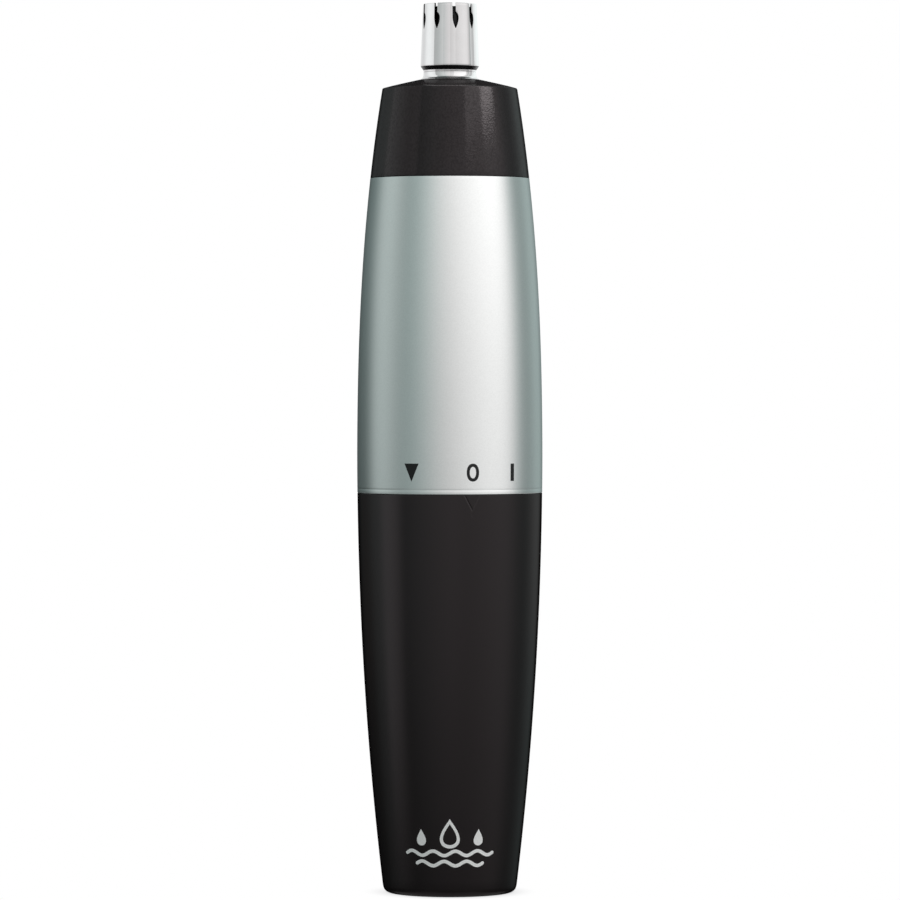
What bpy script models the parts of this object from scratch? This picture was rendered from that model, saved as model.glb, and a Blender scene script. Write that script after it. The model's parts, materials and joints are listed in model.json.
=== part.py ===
"""Nose hair trimmer: a battery powered rotary trimmer in the shape of a double-tapered barrel.

Every moving piece turns about the Z axis. The trimmer stands on its flat base at z = 0, with its
front towards -Y. Lengths are in millimetres and become metres when a mesh or curve is made.
In names, R is a radius and Z a height. Profiles are lists of (radius, z) points.
"""

import math

import bpy
import bmesh
from mathutils import Matrix, Vector

MM = 0.001

# Outside form: a barrel that swells from the base to its waist and tapers again to the collar
WAIST_R = 14.09
TAPER_LENGTH = 60.8
LOWER_DROP, LOWER_FROM, LOWER_POWER = 3.166, 68.4, 2.05
UPPER_DROP, UPPER_FROM, UPPER_POWER = 4.017, 62.3, 2.5

BARREL_RIM_Z = 60.70
SLEEVE_BOTTOM, SLEEVE_TOP = 60.93, 108.40
COLLAR_BOTTOM, COLLAR_CORNER = 108.60, 122.07
NECK_Z = 123.45
TIP_Z = 134.90
EDGE, EDGE_HEIGHT = 0.12, 0.14  # chamfer on the rims of the outside form

WALL_BARREL = 1.6
WALL_SLEEVE = 1.3
WALL_COLLAR = 1.3
BARREL_FLOOR = 1.8

# Battery: one AA cell
CELL_R, CELL_BOTTOM, CELL_TOP = 7.2, 6.3, 55.8
CELL_END_R = 6.6
NUB_R, NUB_BOTTOM, NUB_TOP = 2.65, 55.86, 56.95
STRIP_THICKNESS, STRIP_WIDTH = 0.3, 3.0

# Battery joint: spigot of the chassis inside the barrel
SPIGOT_R, SPIGOT_BORE, SPIGOT_Z = 11.4, 9.6, 46.0
SEAL_BORE, SEAL_BOTTOM, SEAL_TOP = 11.9, 43.0, 51.7
RIM_BORE = 12.5
RING_INNER, RING_OUTER, RING_BOTTOM, RING_TOP = 11.52, 12.3, 54.5, 59.4
KEY_WIDTH, KEY_R, KEY_CLEARANCE = 3.0, 13.2, 0.15
SWITCH_OFF, SWITCH_ON = 14.4, 42.5  # degrees round from the front
POINTER_DEPTH = 0.16

# Motor: a small can motor with two flats
CHASSIS_BORE, CHASSIS_TOP = 10.7, 88.9
CAN_R, CAN_FLAT, CAN_WALL = 10.05, 7.55, 0.6
CAN_BOTTOM, CAN_TOP = 64.1, 89.0
CAN_INNER_TOP = CAN_TOP - 0.8
SHAFT_R = 1.0
SHAFT_HOLE_R = SHAFT_R + 0.07
BUSH_BORE, BUSH_R, BUSH_SEAT_R = 1.08, 1.5, 1.58

# Screws: (x, y) of each pair, and the sizes they share
MOTOR_SCREWS = [(5.2, 0), (-5.2, 0)]
SOCKET_SCREWS = [(0, 9.45), (0, -9.45)]
SCREW_HEAD_R, SCREW_HEAD_Z, SCREW_HEAD_HEIGHT = 1.25, 91.2, 0.9
SCREW_SHANK_R = 0.75
MOTOR_SCREW_TIP, SOCKET_SCREW_TIP = 87.4, 82.6

# Head
SOCKET_BORE = 8.8
SPINDLE_R = 1.2
SPINDLE_BORE = 1.27
SPINDLE_BUSH_R = 2.04
HUB_R, HUB_BORE = 2.9, 2.1
FOOT_R, FOOT_BORE = 3.72, 3.05
SLEEVE_TIP_R, SLEEVE_LIP_R, SLEEVE_BORE = 4.07, 4.44, 3.6
HAIR_SLOTS, HAIR_SLOT_PHASE = 9, 12.3
CUTTER_R, CUTTER_WALL = 3.48, 0.43
CUTTER_BOTTOM, CUTTER_HUB_TOP, CUTTER_TOP = 126.6, 130.05, 134.4
CUTTER_HOLE_R = 1.3

# Mesh resolution
SEG_SHELL = 36
SEG_MID = 28
SEG_SMALL = 20
SEG_PIN = 12
O_RING_SIDES = 6
COIL_STEPS = 10  # per turn

# Degrees about Z from +X, for features that repeat
BOTH_SIDES = (0, 180)
DIAGONALS = (45, 135, 225, 315)
THIRDS = (90, 210, 330)

# Moving bodies: (name, z of its origin, parent)
BODIES = [
    ("upper_body", 60.8, None),
    ("rotor", 60.8, "upper_body"),
    ("head", 108.5, "upper_body"),
    ("spindle", 96.2, "head"),
    ("inner_cutter", 126.6, "spindle"),
    ("switch_ring", 57.0, "upper_body"),
    ("lower_barrel", 0.0, "switch_ring"),
]

# Looks: base colour, metallic, roughness
LOOKS = {
    "silver": ((0.60, 0.63, 0.62), 0.9, 0.32),
    "soft_black": ((0.022, 0.021, 0.022), 0.0, 0.55),
    "collar_black": ((0.025, 0.024, 0.025), 0.0, 0.35),
    "chrome": ((0.85, 0.85, 0.86), 1.0, 0.10),
    "steel": ((0.55, 0.56, 0.57), 1.0, 0.25),
    "spring_steel": ((0.42, 0.43, 0.45), 1.0, 0.30),
    "zinc": ((0.62, 0.64, 0.66), 1.0, 0.35),
    "copper": ((0.72, 0.32, 0.16), 1.0, 0.30),
    "brass": ((0.75, 0.58, 0.28), 1.0, 0.30),
    "white_plastic": ((0.80, 0.80, 0.77), 0.0, 0.45),
    "grey_plastic": ((0.18, 0.19, 0.20), 0.0, 0.50),
    "acetal": ((0.70, 0.68, 0.60), 0.0, 0.40),
    "rubber": ((0.03, 0.03, 0.03), 0.0, 0.75),
    "magnet": ((0.08, 0.08, 0.085), 0.2, 0.60),
    "enamel": ((0.10, 0.22, 0.36), 0.1, 0.35),
    "red_wire": ((0.55, 0.03, 0.02), 0.0, 0.45),
    "black_wire": ((0.02, 0.02, 0.02), 0.0, 0.45),
}

body_axes = {}
body_heights = {}


# ---------------------------------------------------------------- geometry

def outer_radius(z):
    radius = WAIST_R
    if z < LOWER_FROM:
        radius -= LOWER_DROP * ((LOWER_FROM - z) / TAPER_LENGTH) ** LOWER_POWER
    if z > UPPER_FROM:
        radius -= UPPER_DROP * ((z - UPPER_FROM) / TAPER_LENGTH) ** UPPER_POWER
    return radius


def taper(heights, inset=0.0):
    """Profile points along the outside form, or inset from it."""
    return [(outer_radius(z) - inset, z) for z in heights]


def polar(radius, angle):
    return radius * math.cos(angle), radius * math.sin(angle)


def even_angles(count):
    return [2 * math.pi * i / count for i in range(count)]


def circle(radius, segments):
    return [polar(radius, angle) for angle in even_angles(segments)]


def around(degrees_from_front):
    """Degrees from +X of a direction given in degrees round from the front (-Y) towards +X."""
    return degrees_from_front - 90.0


def turn_z(degrees, size=3):
    return Matrix.Rotation(math.radians(degrees), size, "Z")


def helix(radius_start, radius_end, z_start, z_end, turns):
    """A coil with its last half turn at each end laid flat."""
    steps = round(COIL_STEPS * turns)
    flat = 0.5 / turns
    path = []
    for i in range(steps + 1):
        part = i / steps
        rise = min(max((part - flat) / (1 - 2 * flat), 0.0), 1.0)
        radius = radius_start + (radius_end - radius_start) * part
        z = z_start + (z_end - z_start) * rise
        path.append((*polar(radius, 2 * math.pi * turns * part), z))
    return path


def offset_left(path, distance):
    """A path of (radius, z) points moved to its left, with mitred bends."""
    points = [Vector(point) for point in path]
    normals = [Vector((start.y - end.y, end.x - start.x)).normalized()
               for start, end in zip(points, points[1:])]
    return [point + (before + after) * (distance / (1.0 + before.dot(after)))
            for point, before, after in zip(points, normals[:1] + normals, normals + normals[-1:])]


# ---------------------------------------------------------------- objects

def add_body(name, z, parent):
    """An empty on the joint's axis, which carries the pieces that move together."""
    empty = bpy.data.objects.new(name + "_axis", None)
    empty.empty_display_size = 0.01
    bpy.context.scene.collection.objects.link(empty)
    parent_z = 0.0
    if parent:
        empty.parent = body_axes[parent]
        parent_z = body_heights[parent]
    empty.location = (0, 0, (z - parent_z) * MM)
    body_axes[name] = empty
    body_heights[name] = z


def material(name, look):
    colour, metallic, roughness = LOOKS[look]
    mat = bpy.data.materials.new(name)
    mat.use_nodes = True
    shader = mat.node_tree.nodes["Principled BSDF"]
    shader.inputs["Base Color"].default_value = (*colour, 1.0)
    shader.inputs["Metallic"].default_value = metallic
    shader.inputs["Roughness"].default_value = roughness
    mat.diffuse_color = (*colour, 1.0)
    return mat


def place(name, body, data):
    """Hangs a new object on its body's empty, with its origin on the axis."""
    obj = bpy.data.objects.new(name, data)
    bpy.context.scene.collection.objects.link(obj)
    obj.parent = body_axes[body]
    return obj


def mesh_object(name, body, work):
    """Turns a bmesh in millimetres into an object without a material."""
    bmesh.ops.recalc_face_normals(work, faces=work.faces)
    bmesh.ops.translate(work, verts=work.verts, vec=(0, 0, -body_heights[body]))
    bmesh.ops.scale(work, verts=work.verts, vec=(MM, MM, MM))
    mesh = bpy.data.meshes.new(name)
    work.to_mesh(mesh)
    work.free()
    return place(name, body, mesh)


def finish(name, body, look, work, sharp=35.0):
    """Makes a visible piece, with edges sharper than sharp degrees left hard."""
    obj = mesh_object(name, body, work)
    obj.data.materials.append(material(name, look))
    obj.data.shade_smooth()
    obj.data.set_sharp_from_angle(angle=math.radians(sharp))
    return obj


def combine(obj, body, operation, work):
    """Adds or takes away a hidden helper with a Boolean modifier."""
    helper = mesh_object(f"{obj.name}_{operation.lower()}_{len(obj.modifiers)}", body, work)
    helper.hide_render = True
    helper.display_type = "WIRE"
    modifier = obj.modifiers.new(operation.title(), "BOOLEAN")
    modifier.operation = operation
    modifier.solver = "EXACT"
    modifier.object = helper
    return helper


# ---------------------------------------------------------------- modelling tools

def spin(work, geom, degrees, steps, merge=False):
    bmesh.ops.spin(work, geom=geom, cent=(0, 0, 0), axis=(0, 0, 1), dvec=(0, 0, 0),
                   angle=math.radians(degrees), steps=steps, use_merge=merge)


def extrude(work, faces, offset):
    """Extrudes faces by an offset and returns the new vertices."""
    moved = bmesh.ops.extrude_face_region(work, geom=faces)
    far = [item for item in moved["geom"] if isinstance(item, bmesh.types.BMVert)]
    bmesh.ops.translate(work, verts=far, vec=offset)
    return far


def join_rings(work, lower, upper):
    """Faces between two rings. A ring that repeats one vertex makes triangles."""
    for i in range(len(lower)):
        j = (i + 1) % len(lower)
        corners = (lower[i], lower[j], upper[j], upper[i])
        work.faces.new(list(dict.fromkeys(corners)))


def lathe(name, body, look, profile, segments, sharp=35.0):
    """Spins a profile about Z. One that starts on the axis is open, any other is closed."""
    work = bmesh.new()
    points = [work.verts.new((radius, 0, z)) for radius, z in profile]
    edges = [work.edges.new(pair) for pair in zip(points, points[1:])]
    if profile[0][0] > 0:
        edges.append(work.edges.new((points[-1], points[0])))
    spin(work, points + edges, 360, segments, merge=True)
    bmesh.ops.remove_doubles(work, verts=work.verts, dist=0.0005)
    return finish(name, body, look, work, sharp)


def tube(name, body, look, inner, outer, bottom, top, segments):
    profile = [(inner, bottom), (outer, bottom), (outer, top), (inner, top)]
    return lathe(name, body, look, profile, segments)


def arc_block(name, body, look, inner, outer, bottom, top, middle, span, segments):
    """Part of a ring: a rectangle spun through span degrees about the angle middle."""
    work = bmesh.new()
    section = ((inner, bottom), (outer, bottom), (outer, top), (inner, top))
    corners = [work.verts.new((radius, 0, z)) for radius, z in section]
    face = work.faces.new(corners)
    bmesh.ops.rotate(work, verts=corners, cent=(0, 0, 0), matrix=turn_z(middle - span / 2))
    spin(work, corners + list(face.edges) + [face], span, segments)
    return finish(name, body, look, work)


def outline_lathe(name, body, look, stations, angles):
    """As lathe, for a section that isn't round: a radius may be a function of the angle."""
    work = bmesh.new()
    rings = []
    for reach, z in stations:
        if reach == 0:
            rings.append([work.verts.new((0, 0, z))] * len(angles))
            continue
        radii = [reach(angle) if callable(reach) else reach for angle in angles]
        rings.append([work.verts.new((*polar(radius, angle), z))
                      for radius, angle in zip(radii, angles)])
    pairs = list(zip(rings, rings[1:]))
    if stations[0][0] != 0:
        pairs.append((rings[-1], rings[0]))
    for lower, upper in pairs:
        join_rings(work, lower, upper)
    return finish(name, body, look, work)


def blocks(near, far, width, bottom, top, turns, work=None):
    """A box from x = near to x = far, centred on y = 0, repeated at each turn about Z."""
    work = work or bmesh.new()
    at = Matrix.Translation(((near + far) / 2, 0, (bottom + top) / 2))
    size = Matrix.Diagonal((far - near, width, top - bottom, 1.0))
    for turn in turns:
        bmesh.ops.create_cube(work, size=1.0, matrix=turn_z(turn, 4) @ at @ size)
    return work


def posts(places, radius, bottom, top):
    """Upright round posts at (x, y) places."""
    work = bmesh.new()
    for x, y in places:
        bmesh.ops.create_cone(work, cap_ends=True, cap_tris=False, segments=SEG_PIN,
                              radius1=radius, radius2=radius, depth=top - bottom,
                              matrix=Matrix.Translation((x, y, (bottom + top) / 2)))
    return work


def plate(outer, hole, bottom, top):
    """An (x, y) outline with one hole, extruded from bottom to top."""
    work = bmesh.new()
    edges = []
    for outline in (outer, hole):
        ring = [work.verts.new((x, y, bottom)) for x, y in outline]
        edges += [work.edges.new((ring[i - 1], ring[i])) for i in range(len(ring))]
    filled = bmesh.ops.triangle_fill(work, edges=edges, use_beauty=True)
    flat = [item for item in filled["geom"] if isinstance(item, bmesh.types.BMFace)]
    extrude(work, flat, (0, 0, top - bottom))
    return work


def radial_prisms(outline, inner, outer, turns):
    """An (across, z) outline that faces outwards, extruded radially at each turn about Z."""
    work = bmesh.new()
    for turn in turns:
        points = [work.verts.new((inner, across, z)) for across, z in outline]
        far = extrude(work, [work.faces.new(points)], (outer - inner, 0, 0))
        bmesh.ops.rotate(work, verts=points + far, cent=(0, 0, 0), matrix=turn_z(turn))
    return work


def contact_spring_strip(name, body, path, turn):
    """A flat brass strip bent along a (radius, z) path, thickened to the path's left."""
    work = bmesh.new()
    right, left = [[work.verts.new((radius, -STRIP_WIDTH / 2, z)) for radius, z in side]
                   for side in (path, offset_left(path, STRIP_THICKNESS))]
    faces = [work.faces.new((right[i], right[i + 1], left[i + 1], left[i]))
             for i in range(len(path) - 1)]
    extrude(work, faces, (0, STRIP_WIDTH, 0))
    bmesh.ops.rotate(work, verts=work.verts, cent=(0, 0, 0), matrix=turn_z(turn))
    return finish(name, body, "brass", work)


def wire(name, body, look, path, radius, bevel_resolution=1):
    """A round wire: a poly curve with a bevel and filled ends."""
    curve = bpy.data.curves.new(name, "CURVE")
    curve.dimensions = "3D"
    curve.bevel_depth = radius * MM
    curve.bevel_resolution = bevel_resolution
    curve.use_fill_caps = True
    spline = curve.splines.new("POLY")
    spline.points.add(len(path) - 1)
    for point, (x, y, z) in zip(spline.points, path):
        point.co = (x * MM, y * MM, (z - body_heights[body]) * MM, 1.0)
    spline.use_smooth = True
    curve.materials.append(material(name, look))
    return place(name, body, curve)


def o_ring(name, body, middle_radius, wire_radius, z, segments):
    section = [(middle_radius + x, z + y) for x, y in circle(wire_radius, O_RING_SIDES)]
    return lathe(name, body, "rubber", section, segments, sharp=80)


# ---------------------------------------------------------------- lower barrel

def lower_barrel():
    """A tapered cup with inner ribs, two key slots and a pointer in its rim."""
    body = "lower_barrel"
    base = [(0, 0.0), (8.8, 0.0), (9.62, 0.16), (10.03, 0.55), (10.16, 1.2)]
    rim = [(RIM_BORE, BARREL_RIM_Z), (RIM_BORE, SEAL_TOP + 0.6),
           (SEAL_BORE, SEAL_TOP), (SEAL_BORE, SEAL_BOTTOM)]
    profile = (
        base
        + taper((5, 12, 20, 28, 36, 44, 52, BARREL_RIM_Z - EDGE_HEIGHT))
        + taper([BARREL_RIM_Z], EDGE)
        + rim
        + taper((36, 28, 20, 12, 6), WALL_BARREL)
        + [(8.75, 2.6), (8.2, BARREL_FLOOR), (0, BARREL_FLOOR)]
    )
    barrel = lathe("lower_barrel", body, "soft_black", profile, SEG_SHELL)
    # Four ribs at the floor and four at mid height
    combine(barrel, body, "UNION", blocks(7.6, 9.9, 1.2, BARREL_FLOOR - 0.4, 9.0, DIAGONALS))
    combine(barrel, body, "UNION", blocks(7.6, 12.6, 1.2, 30.0, 34.0, DIAGONALS))
    combine(barrel, body, "DIFFERENCE",
            blocks(12.0, KEY_R + KEY_CLEARANCE, KEY_WIDTH + 2 * KEY_CLEARANCE,
                   54.0, 62.0, BOTH_SIDES))
    # A triangle with its point down, sunk into the outside at the off angle
    pointer = [(-1.0, BARREL_RIM_Z + 0.4), (-0.97, BARREL_RIM_Z), (0.0, BARREL_RIM_Z - 1.4),
               (0.97, BARREL_RIM_Z), (1.0, BARREL_RIM_Z + 0.4)]
    rim_radius = outer_radius(BARREL_RIM_Z)
    combine(barrel, body, "DIFFERENCE",
            radial_prisms(pointer, rim_radius - POINTER_DEPTH, rim_radius + 1.0,
                          [around(SWITCH_OFF)]))


def battery():
    body = "lower_barrel"
    lathe("battery_cell", body, "enamel",
          [(0, CELL_BOTTOM), (CELL_END_R, CELL_BOTTOM), (CELL_R, CELL_BOTTOM + 0.5),
           (CELL_R, CELL_TOP - 0.6), (CELL_END_R, CELL_TOP), (0, CELL_TOP)], SEG_SMALL)
    lathe("battery_positive_cap", body, "zinc",
          [(0, NUB_BOTTOM), (NUB_R, NUB_BOTTOM), (NUB_R, NUB_TOP - 0.25),
           (NUB_R - 0.3, NUB_TOP), (0, NUB_TOP)], SEG_PIN)


def negative_contacts():
    """Plate and spring under the cell, and a strip from the plate up the barrel wall."""
    body = "lower_barrel"
    lathe("negative_contact_plate", body, "zinc",
          [(0, 2.0), (6.4, 2.0), (6.4, 2.35), (0, 2.35)], SEG_SMALL)
    wire("negative_spring", body, "spring_steel", helix(5.0, 2.9, 2.75, 5.85, turns=3.5), 0.32)
    path = (
        [(6.7, 2.1), (7.7, 2.1), (8.5, 2.95)]
        + taper((7, 16, 26, 36, 44), WALL_BARREL + 0.25)
        + [(11.2, 44.9), (9.6, 44.9)]
    )
    contact_spring_strip("contact_strip", body, path, around(180.0 - (SWITCH_ON - SWITCH_OFF)))


# ---------------------------------------------------------------- switch ring

def switch_ring():
    """A ring with two keys that fit the slots of the lower barrel."""
    body = "switch_ring"
    ring = tube("switch_ring", body, "acetal",
                RING_INNER, RING_OUTER, RING_BOTTOM, RING_TOP, SEG_MID)
    combine(ring, body, "UNION",
            blocks(11.9, KEY_R, KEY_WIDTH, RING_BOTTOM + 0.3, RING_TOP - 0.3, BOTH_SIDES))


# ---------------------------------------------------------------- upper body: shell and chassis

def barrel_sleeve():
    heights = (SLEEVE_BOTTOM + EDGE_HEIGHT, 66, 72, 78, 84, 90, 96, 102, SLEEVE_TOP - EDGE_HEIGHT)
    profile = (
        taper([SLEEVE_BOTTOM], EDGE)
        + taper(heights)
        + taper([SLEEVE_TOP], EDGE)
        + taper((SLEEVE_TOP, 100, 91, 80, 70, SLEEVE_BOTTOM), WALL_SLEEVE)
    )
    lathe("barrel_sleeve", "upper_body", "silver", profile, SEG_SHELL)


def motor_chassis():
    """The spigot below, a floor with a centre hole, and the tube round the motor above."""
    body = "upper_body"
    profile = [
        (SPIGOT_BORE, SPIGOT_Z), (SPIGOT_R - 0.3, SPIGOT_Z), (SPIGOT_R, SPIGOT_Z + 0.4),
        (SPIGOT_R, 47.4), (10.55, 47.4), (10.55, 49.0), (SPIGOT_R, 49.0),  # O-ring groove
        (SPIGOT_R, 53.4), (10.85, 53.4), (10.85, 54.3), (SPIGOT_R, 54.3),  # retainer groove
        (SPIGOT_R, 60.35), (12.2, 60.35), (12.2, 61.2), (12.6, 61.2), (12.6, 63.0),
        (11.9, 63.0), (11.9, CHASSIS_TOP), (CHASSIS_BORE, CHASSIS_TOP),
        (CHASSIS_BORE, 59.0), (1.3, 59.0), (1.3, 57.8),
        (7.6, 57.8), (7.6, 53.5), (8.7, 53.5), (8.7, 57.8), (SPIGOT_BORE, 57.8),
    ]
    chassis = lathe("motor_chassis", body, "white_plastic", profile, SEG_MID)
    combine(chassis, body, "UNION", posts(SOCKET_SCREWS, 1.5, 70.0, CHASSIS_TOP))
    combine(chassis, body, "DIFFERENCE", posts(SOCKET_SCREWS, 0.9, 82.0, 90.0))
    # Side windows, and a slot at the back for the switch contact
    openings = blocks(8.0, 14.0, 9.0, 73.0, 86.0, BOTH_SIDES)
    blocks(8.85, 9.45, 3.4, 57.0, 59.6, [90], openings)
    combine(chassis, body, "DIFFERENCE", openings)


def head_socket():
    body = "upper_body"
    profile = [
        (3.15, 89.1), (11.8, 89.1), (11.8, 91.1), (7.95, 91.1), (7.95, 94.5), (10.5, 96.4),
        (10.5, 108.0), (SOCKET_BORE, 108.0), (SOCKET_BORE, 97.0), (6.8, 95.6), (6.8, 91.1),
        (3.8, 91.1), (3.8, 93.4), (3.15, 93.4),
    ]
    socket = lathe("head_socket", body, "grey_plastic", profile, SEG_MID)
    combine(socket, body, "DIFFERENCE", posts(SOCKET_SCREWS + MOTOR_SCREWS, 0.95, 88.0, 92.0))


def detent_washer():
    """A flat ring bent into four waves."""
    work = bmesh.new()
    section = ((11.58, 59.83), (12.15, 59.83), (12.15, 60.03), (11.58, 60.03))
    rings = [[work.verts.new((*polar(radius, angle), z + 0.2 * math.cos(4 * angle)))
              for angle in even_angles(SEG_MID)]
             for radius, z in section]
    for lower, upper in zip(rings, rings[1:] + rings[:1]):
        join_rings(work, lower, upper)
    finish("detent_washer", "upper_body", "spring_steel", work, sharp=50)


def spigot_rings():
    o_ring("barrel_o_ring", "upper_body", 11.2, 0.58, 48.2, SEG_MID)
    arc_block("ring_retainer", "upper_body", "spring_steel", 11.02, 12.1, 53.55, 54.15,
              middle=around(0), span=310, segments=20)
    detent_washer()


# ---------------------------------------------------------------- upper body: motor

def can_radius(grow):
    """The can's outline, a circle cut by two flats, moved outwards by grow."""
    def radius(angle):
        return min(CAN_R + grow, (CAN_FLAT + grow) / max(abs(math.sin(angle)), 1e-6))
    return radius


def can_angles(grow=0.0):
    """Angles of the points round the can, with one at each end of each flat."""
    corner = math.asin((CAN_FLAT + grow) / (CAN_R + grow))
    flat = math.pi - 2 * corner
    angles = []
    for middle in (0.0, math.pi):
        angles += [middle - corner + 2 * corner * i / 8 for i in range(9)]
        angles += [middle + corner + flat * i / 5 for i in range(1, 5)]
    return angles


def motor_can():
    body = "upper_body"
    outside, inside = can_radius(0), can_radius(-CAN_WALL)
    stations = [
        (outside, CAN_BOTTOM), (outside, CAN_TOP - 0.5), (can_radius(-0.35), CAN_TOP),
        (3.0, CAN_TOP), (3.0, 90.9), (BUSH_SEAT_R, 90.9), (BUSH_SEAT_R, CAN_INNER_TOP),
        (inside, CAN_INNER_TOP), (inside, CAN_BOTTOM),
    ]
    can = outline_lathe("motor_can", body, "steel", stations, can_angles())
    combine(can, body, "DIFFERENCE", posts(MOTOR_SCREWS, 0.9, 87.0, 90.0))


def motor_end_cap():
    body = "upper_body"
    rim, plug = can_radius(-0.1), can_radius(-CAN_WALL - 0.2)
    stations = [
        (2.1, 61.4), (2.1, 62.6), (rim, 62.6), (rim, 64.0), (plug, 64.0), (plug, 65.6),
        (BUSH_SEAT_R, 65.6), (BUSH_SEAT_R, 61.4),
    ]
    cap = outline_lathe("motor_end_cap", body, "white_plastic", stations, can_angles())
    combine(cap, body, "DIFFERENCE", blocks(2.25, 2.8, 3.0, 60.0, 67.0, BOTH_SIDES))


def motor_fittings():
    body = "upper_body"
    for side, turn in (("right", 0), ("left", 180)):
        arc_block(f"motor_magnet_{side}", body, "magnet", 6.9, 9.3, 70.0, 87.0,
                  middle=turn, span=78, segments=7)
    for end, bottom, top in (("rear", 61.5, 64.4), ("front", 88.3, 90.8)):
        tube(f"motor_{end}_bush", body, "brass", BUSH_BORE, BUSH_R, bottom, top, SEG_PIN)
    for pole, turn in (("positive", 0), ("negative", 180)):
        finish(f"motor_brush_{pole}", body, "copper", blocks(2.35, 2.65, 2.6, 60.9, 69.2, [turn]))
    damper_bore = can_radius(0.08)
    outline_lathe("motor_damper", body, "rubber",
                  [(damper_bore, 65.0), (10.55, 65.0), (10.55, 69.5), (damper_bore, 69.5)],
                  can_angles(0.08))
    seal_bore = SHAFT_R + 0.08
    lathe("shaft_seal", body, "rubber",
          [(seal_bore, 91.1), (3.05, 91.1), (3.05, 93.2), (2.3, 93.2), (1.7, 92.4),
           (seal_bore, 92.4)], SEG_PIN)


def screw(name, place_xy, tip_z):
    """A pan head screw with a slot."""
    top = SCREW_HEAD_Z + SCREW_HEAD_HEIGHT
    profile = [
        (0, top), (SCREW_HEAD_R * 0.75, top),
        (SCREW_HEAD_R, SCREW_HEAD_Z + SCREW_HEAD_HEIGHT * 0.6), (SCREW_HEAD_R, SCREW_HEAD_Z),
        (SCREW_SHANK_R, SCREW_HEAD_Z), (SCREW_SHANK_R, tip_z + 0.4), (0, tip_z),
    ]
    obj = lathe(name, "upper_body", "zinc", profile, SEG_PIN)
    slot_floor = SCREW_HEAD_Z + SCREW_HEAD_HEIGHT * 0.45
    slot = combine(obj, "upper_body", "DIFFERENCE",
                   blocks(-0.9, 0.9, 0.32, slot_floor, top + 0.5, [20]))
    x, y = place_xy
    for piece in (obj, slot):
        piece.location = (x * MM, y * MM, 0)


def screws():
    for side, place_xy in zip(("right", "left"), MOTOR_SCREWS):
        screw(f"motor_screw_{side}", place_xy, MOTOR_SCREW_TIP)
    for side, place_xy in zip(("rear", "front"), SOCKET_SCREWS):
        screw(f"socket_screw_{side}", place_xy, SOCKET_SCREW_TIP)


def wiring():
    """Contacts in the spigot, and a lead wire (x, y, z) from each to its brush."""
    body = "upper_body"
    lathe("positive_contact", body, "zinc",
          [(0, 57.15), (1.6, 57.15), (3.4, 57.4), (3.4, 57.65), (1.0, 57.65), (1.0, 59.9),
           (0, 59.9)], SEG_PIN)
    contact_spring_strip("switch_contact", body, [(9.3, 44.5), (9.3, 59.9), (8.0, 59.9)],
                         around(180))
    wire("lead_wire_positive", body, "red_wire",
         [(0.0, 0.0, 60.3), (0.5, 0.9, 60.45), (1.2, 1.3, 60.6), (1.8, 0.9, 60.75),
          (1.95, 0.2, 60.95)], 0.3)
    wire("lead_wire_negative", body, "black_wire",
         [(0.0, 7.6, 59.95), (-0.8, 6.4, 60.5), (-2.2, 5.0, 60.7), (-3.3, 3.2, 60.75),
          (-3.4, 1.4, 61.0), (-3.05, 0.4, 61.4)], 0.3)


# ---------------------------------------------------------------- rotor

# One T-shaped pole of the armature: (radius, degrees from the middle of the pole)
POLE = [
    (2.6, -35), (3.0, -22), (5.0, -12), (5.6, -44), (6.35, -45),
    (6.6, -30), (6.6, -15), (6.6, 0), (6.6, 15), (6.6, 30),
    (6.35, 45), (5.6, 44), (5.0, 12), (3.0, 22), (2.6, 35),
]


def armature():
    """Three poles round a hub, and a ring with three boxes cut out where the poles pass."""
    body = "rotor"
    outline = [polar(radius, math.radians(turn + degrees))
               for turn in THIRDS for radius, degrees in POLE]
    finish("armature_core", body, "magnet",
           plate(outline, circle(SHAFT_HOLE_R, SEG_PIN), 71.5, 83.5))
    windings = tube("armature_windings", body, "copper", 1.3, 3.6, 70.05, 71.25, SEG_SMALL)
    combine(windings, body, "UNION", blocks(3.1, 4.2, 4.8, 70.2, 84.8, THIRDS))
    combine(windings, body, "DIFFERENCE", blocks(2.9, 5.6, 2.64, 71.3, 83.7, THIRDS))


def commutator():
    """A sleeve with three notches down its outside."""
    outline = [polar(1.8 if i % 8 == 0 else 2.2, angle)
               for i, angle in enumerate(even_angles(24))]
    finish("commutator", "rotor", "copper",
           plate(outline, circle(SHAFT_HOLE_R, SEG_PIN), 65.9, 69.8))


def motor_shaft():
    lathe("motor_shaft", "rotor", "steel",
          [(0, 61.9), (0.85, 61.9), (SHAFT_R, 62.1), (SHAFT_R, 97.3), (0.85, 97.5), (0, 97.5)],
          SEG_PIN)


def drive_dog():
    """A cap on the shaft's upper end, with a lug on each side."""
    bore, top = SHAFT_R + 0.06, 98.9
    dog = lathe("drive_dog", "rotor", "acetal",
                [(0, 97.7), (bore, 97.7), (bore, 94.2), (2.2, 94.2), (2.2, top), (0, top)],
                SEG_PIN)
    combine(dog, "rotor", "UNION", blocks(1.9, 3.5, 1.6, 96.6, top, BOTH_SIDES))


# ---------------------------------------------------------------- head

def head_collar():
    profile = (
        taper([COLLAR_BOTTOM], EDGE)
        + taper((COLLAR_BOTTOM + EDGE_HEIGHT, 112, 116, 119.5, 121.9))
        + [(10.1, COLLAR_CORNER), (9.1, 122.38), (7.6, 122.74), (6.1, 123.08), (4.7, NECK_Z),
           (3.85, NECK_Z), (3.85, 122.0), (8.5, 121.4), (8.9, 120.7)]
        + taper((118, 113, COLLAR_BOTTOM), WALL_COLLAR)
    )
    lathe("head_collar", "head", "collar_black", profile, SEG_SHELL)


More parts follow.
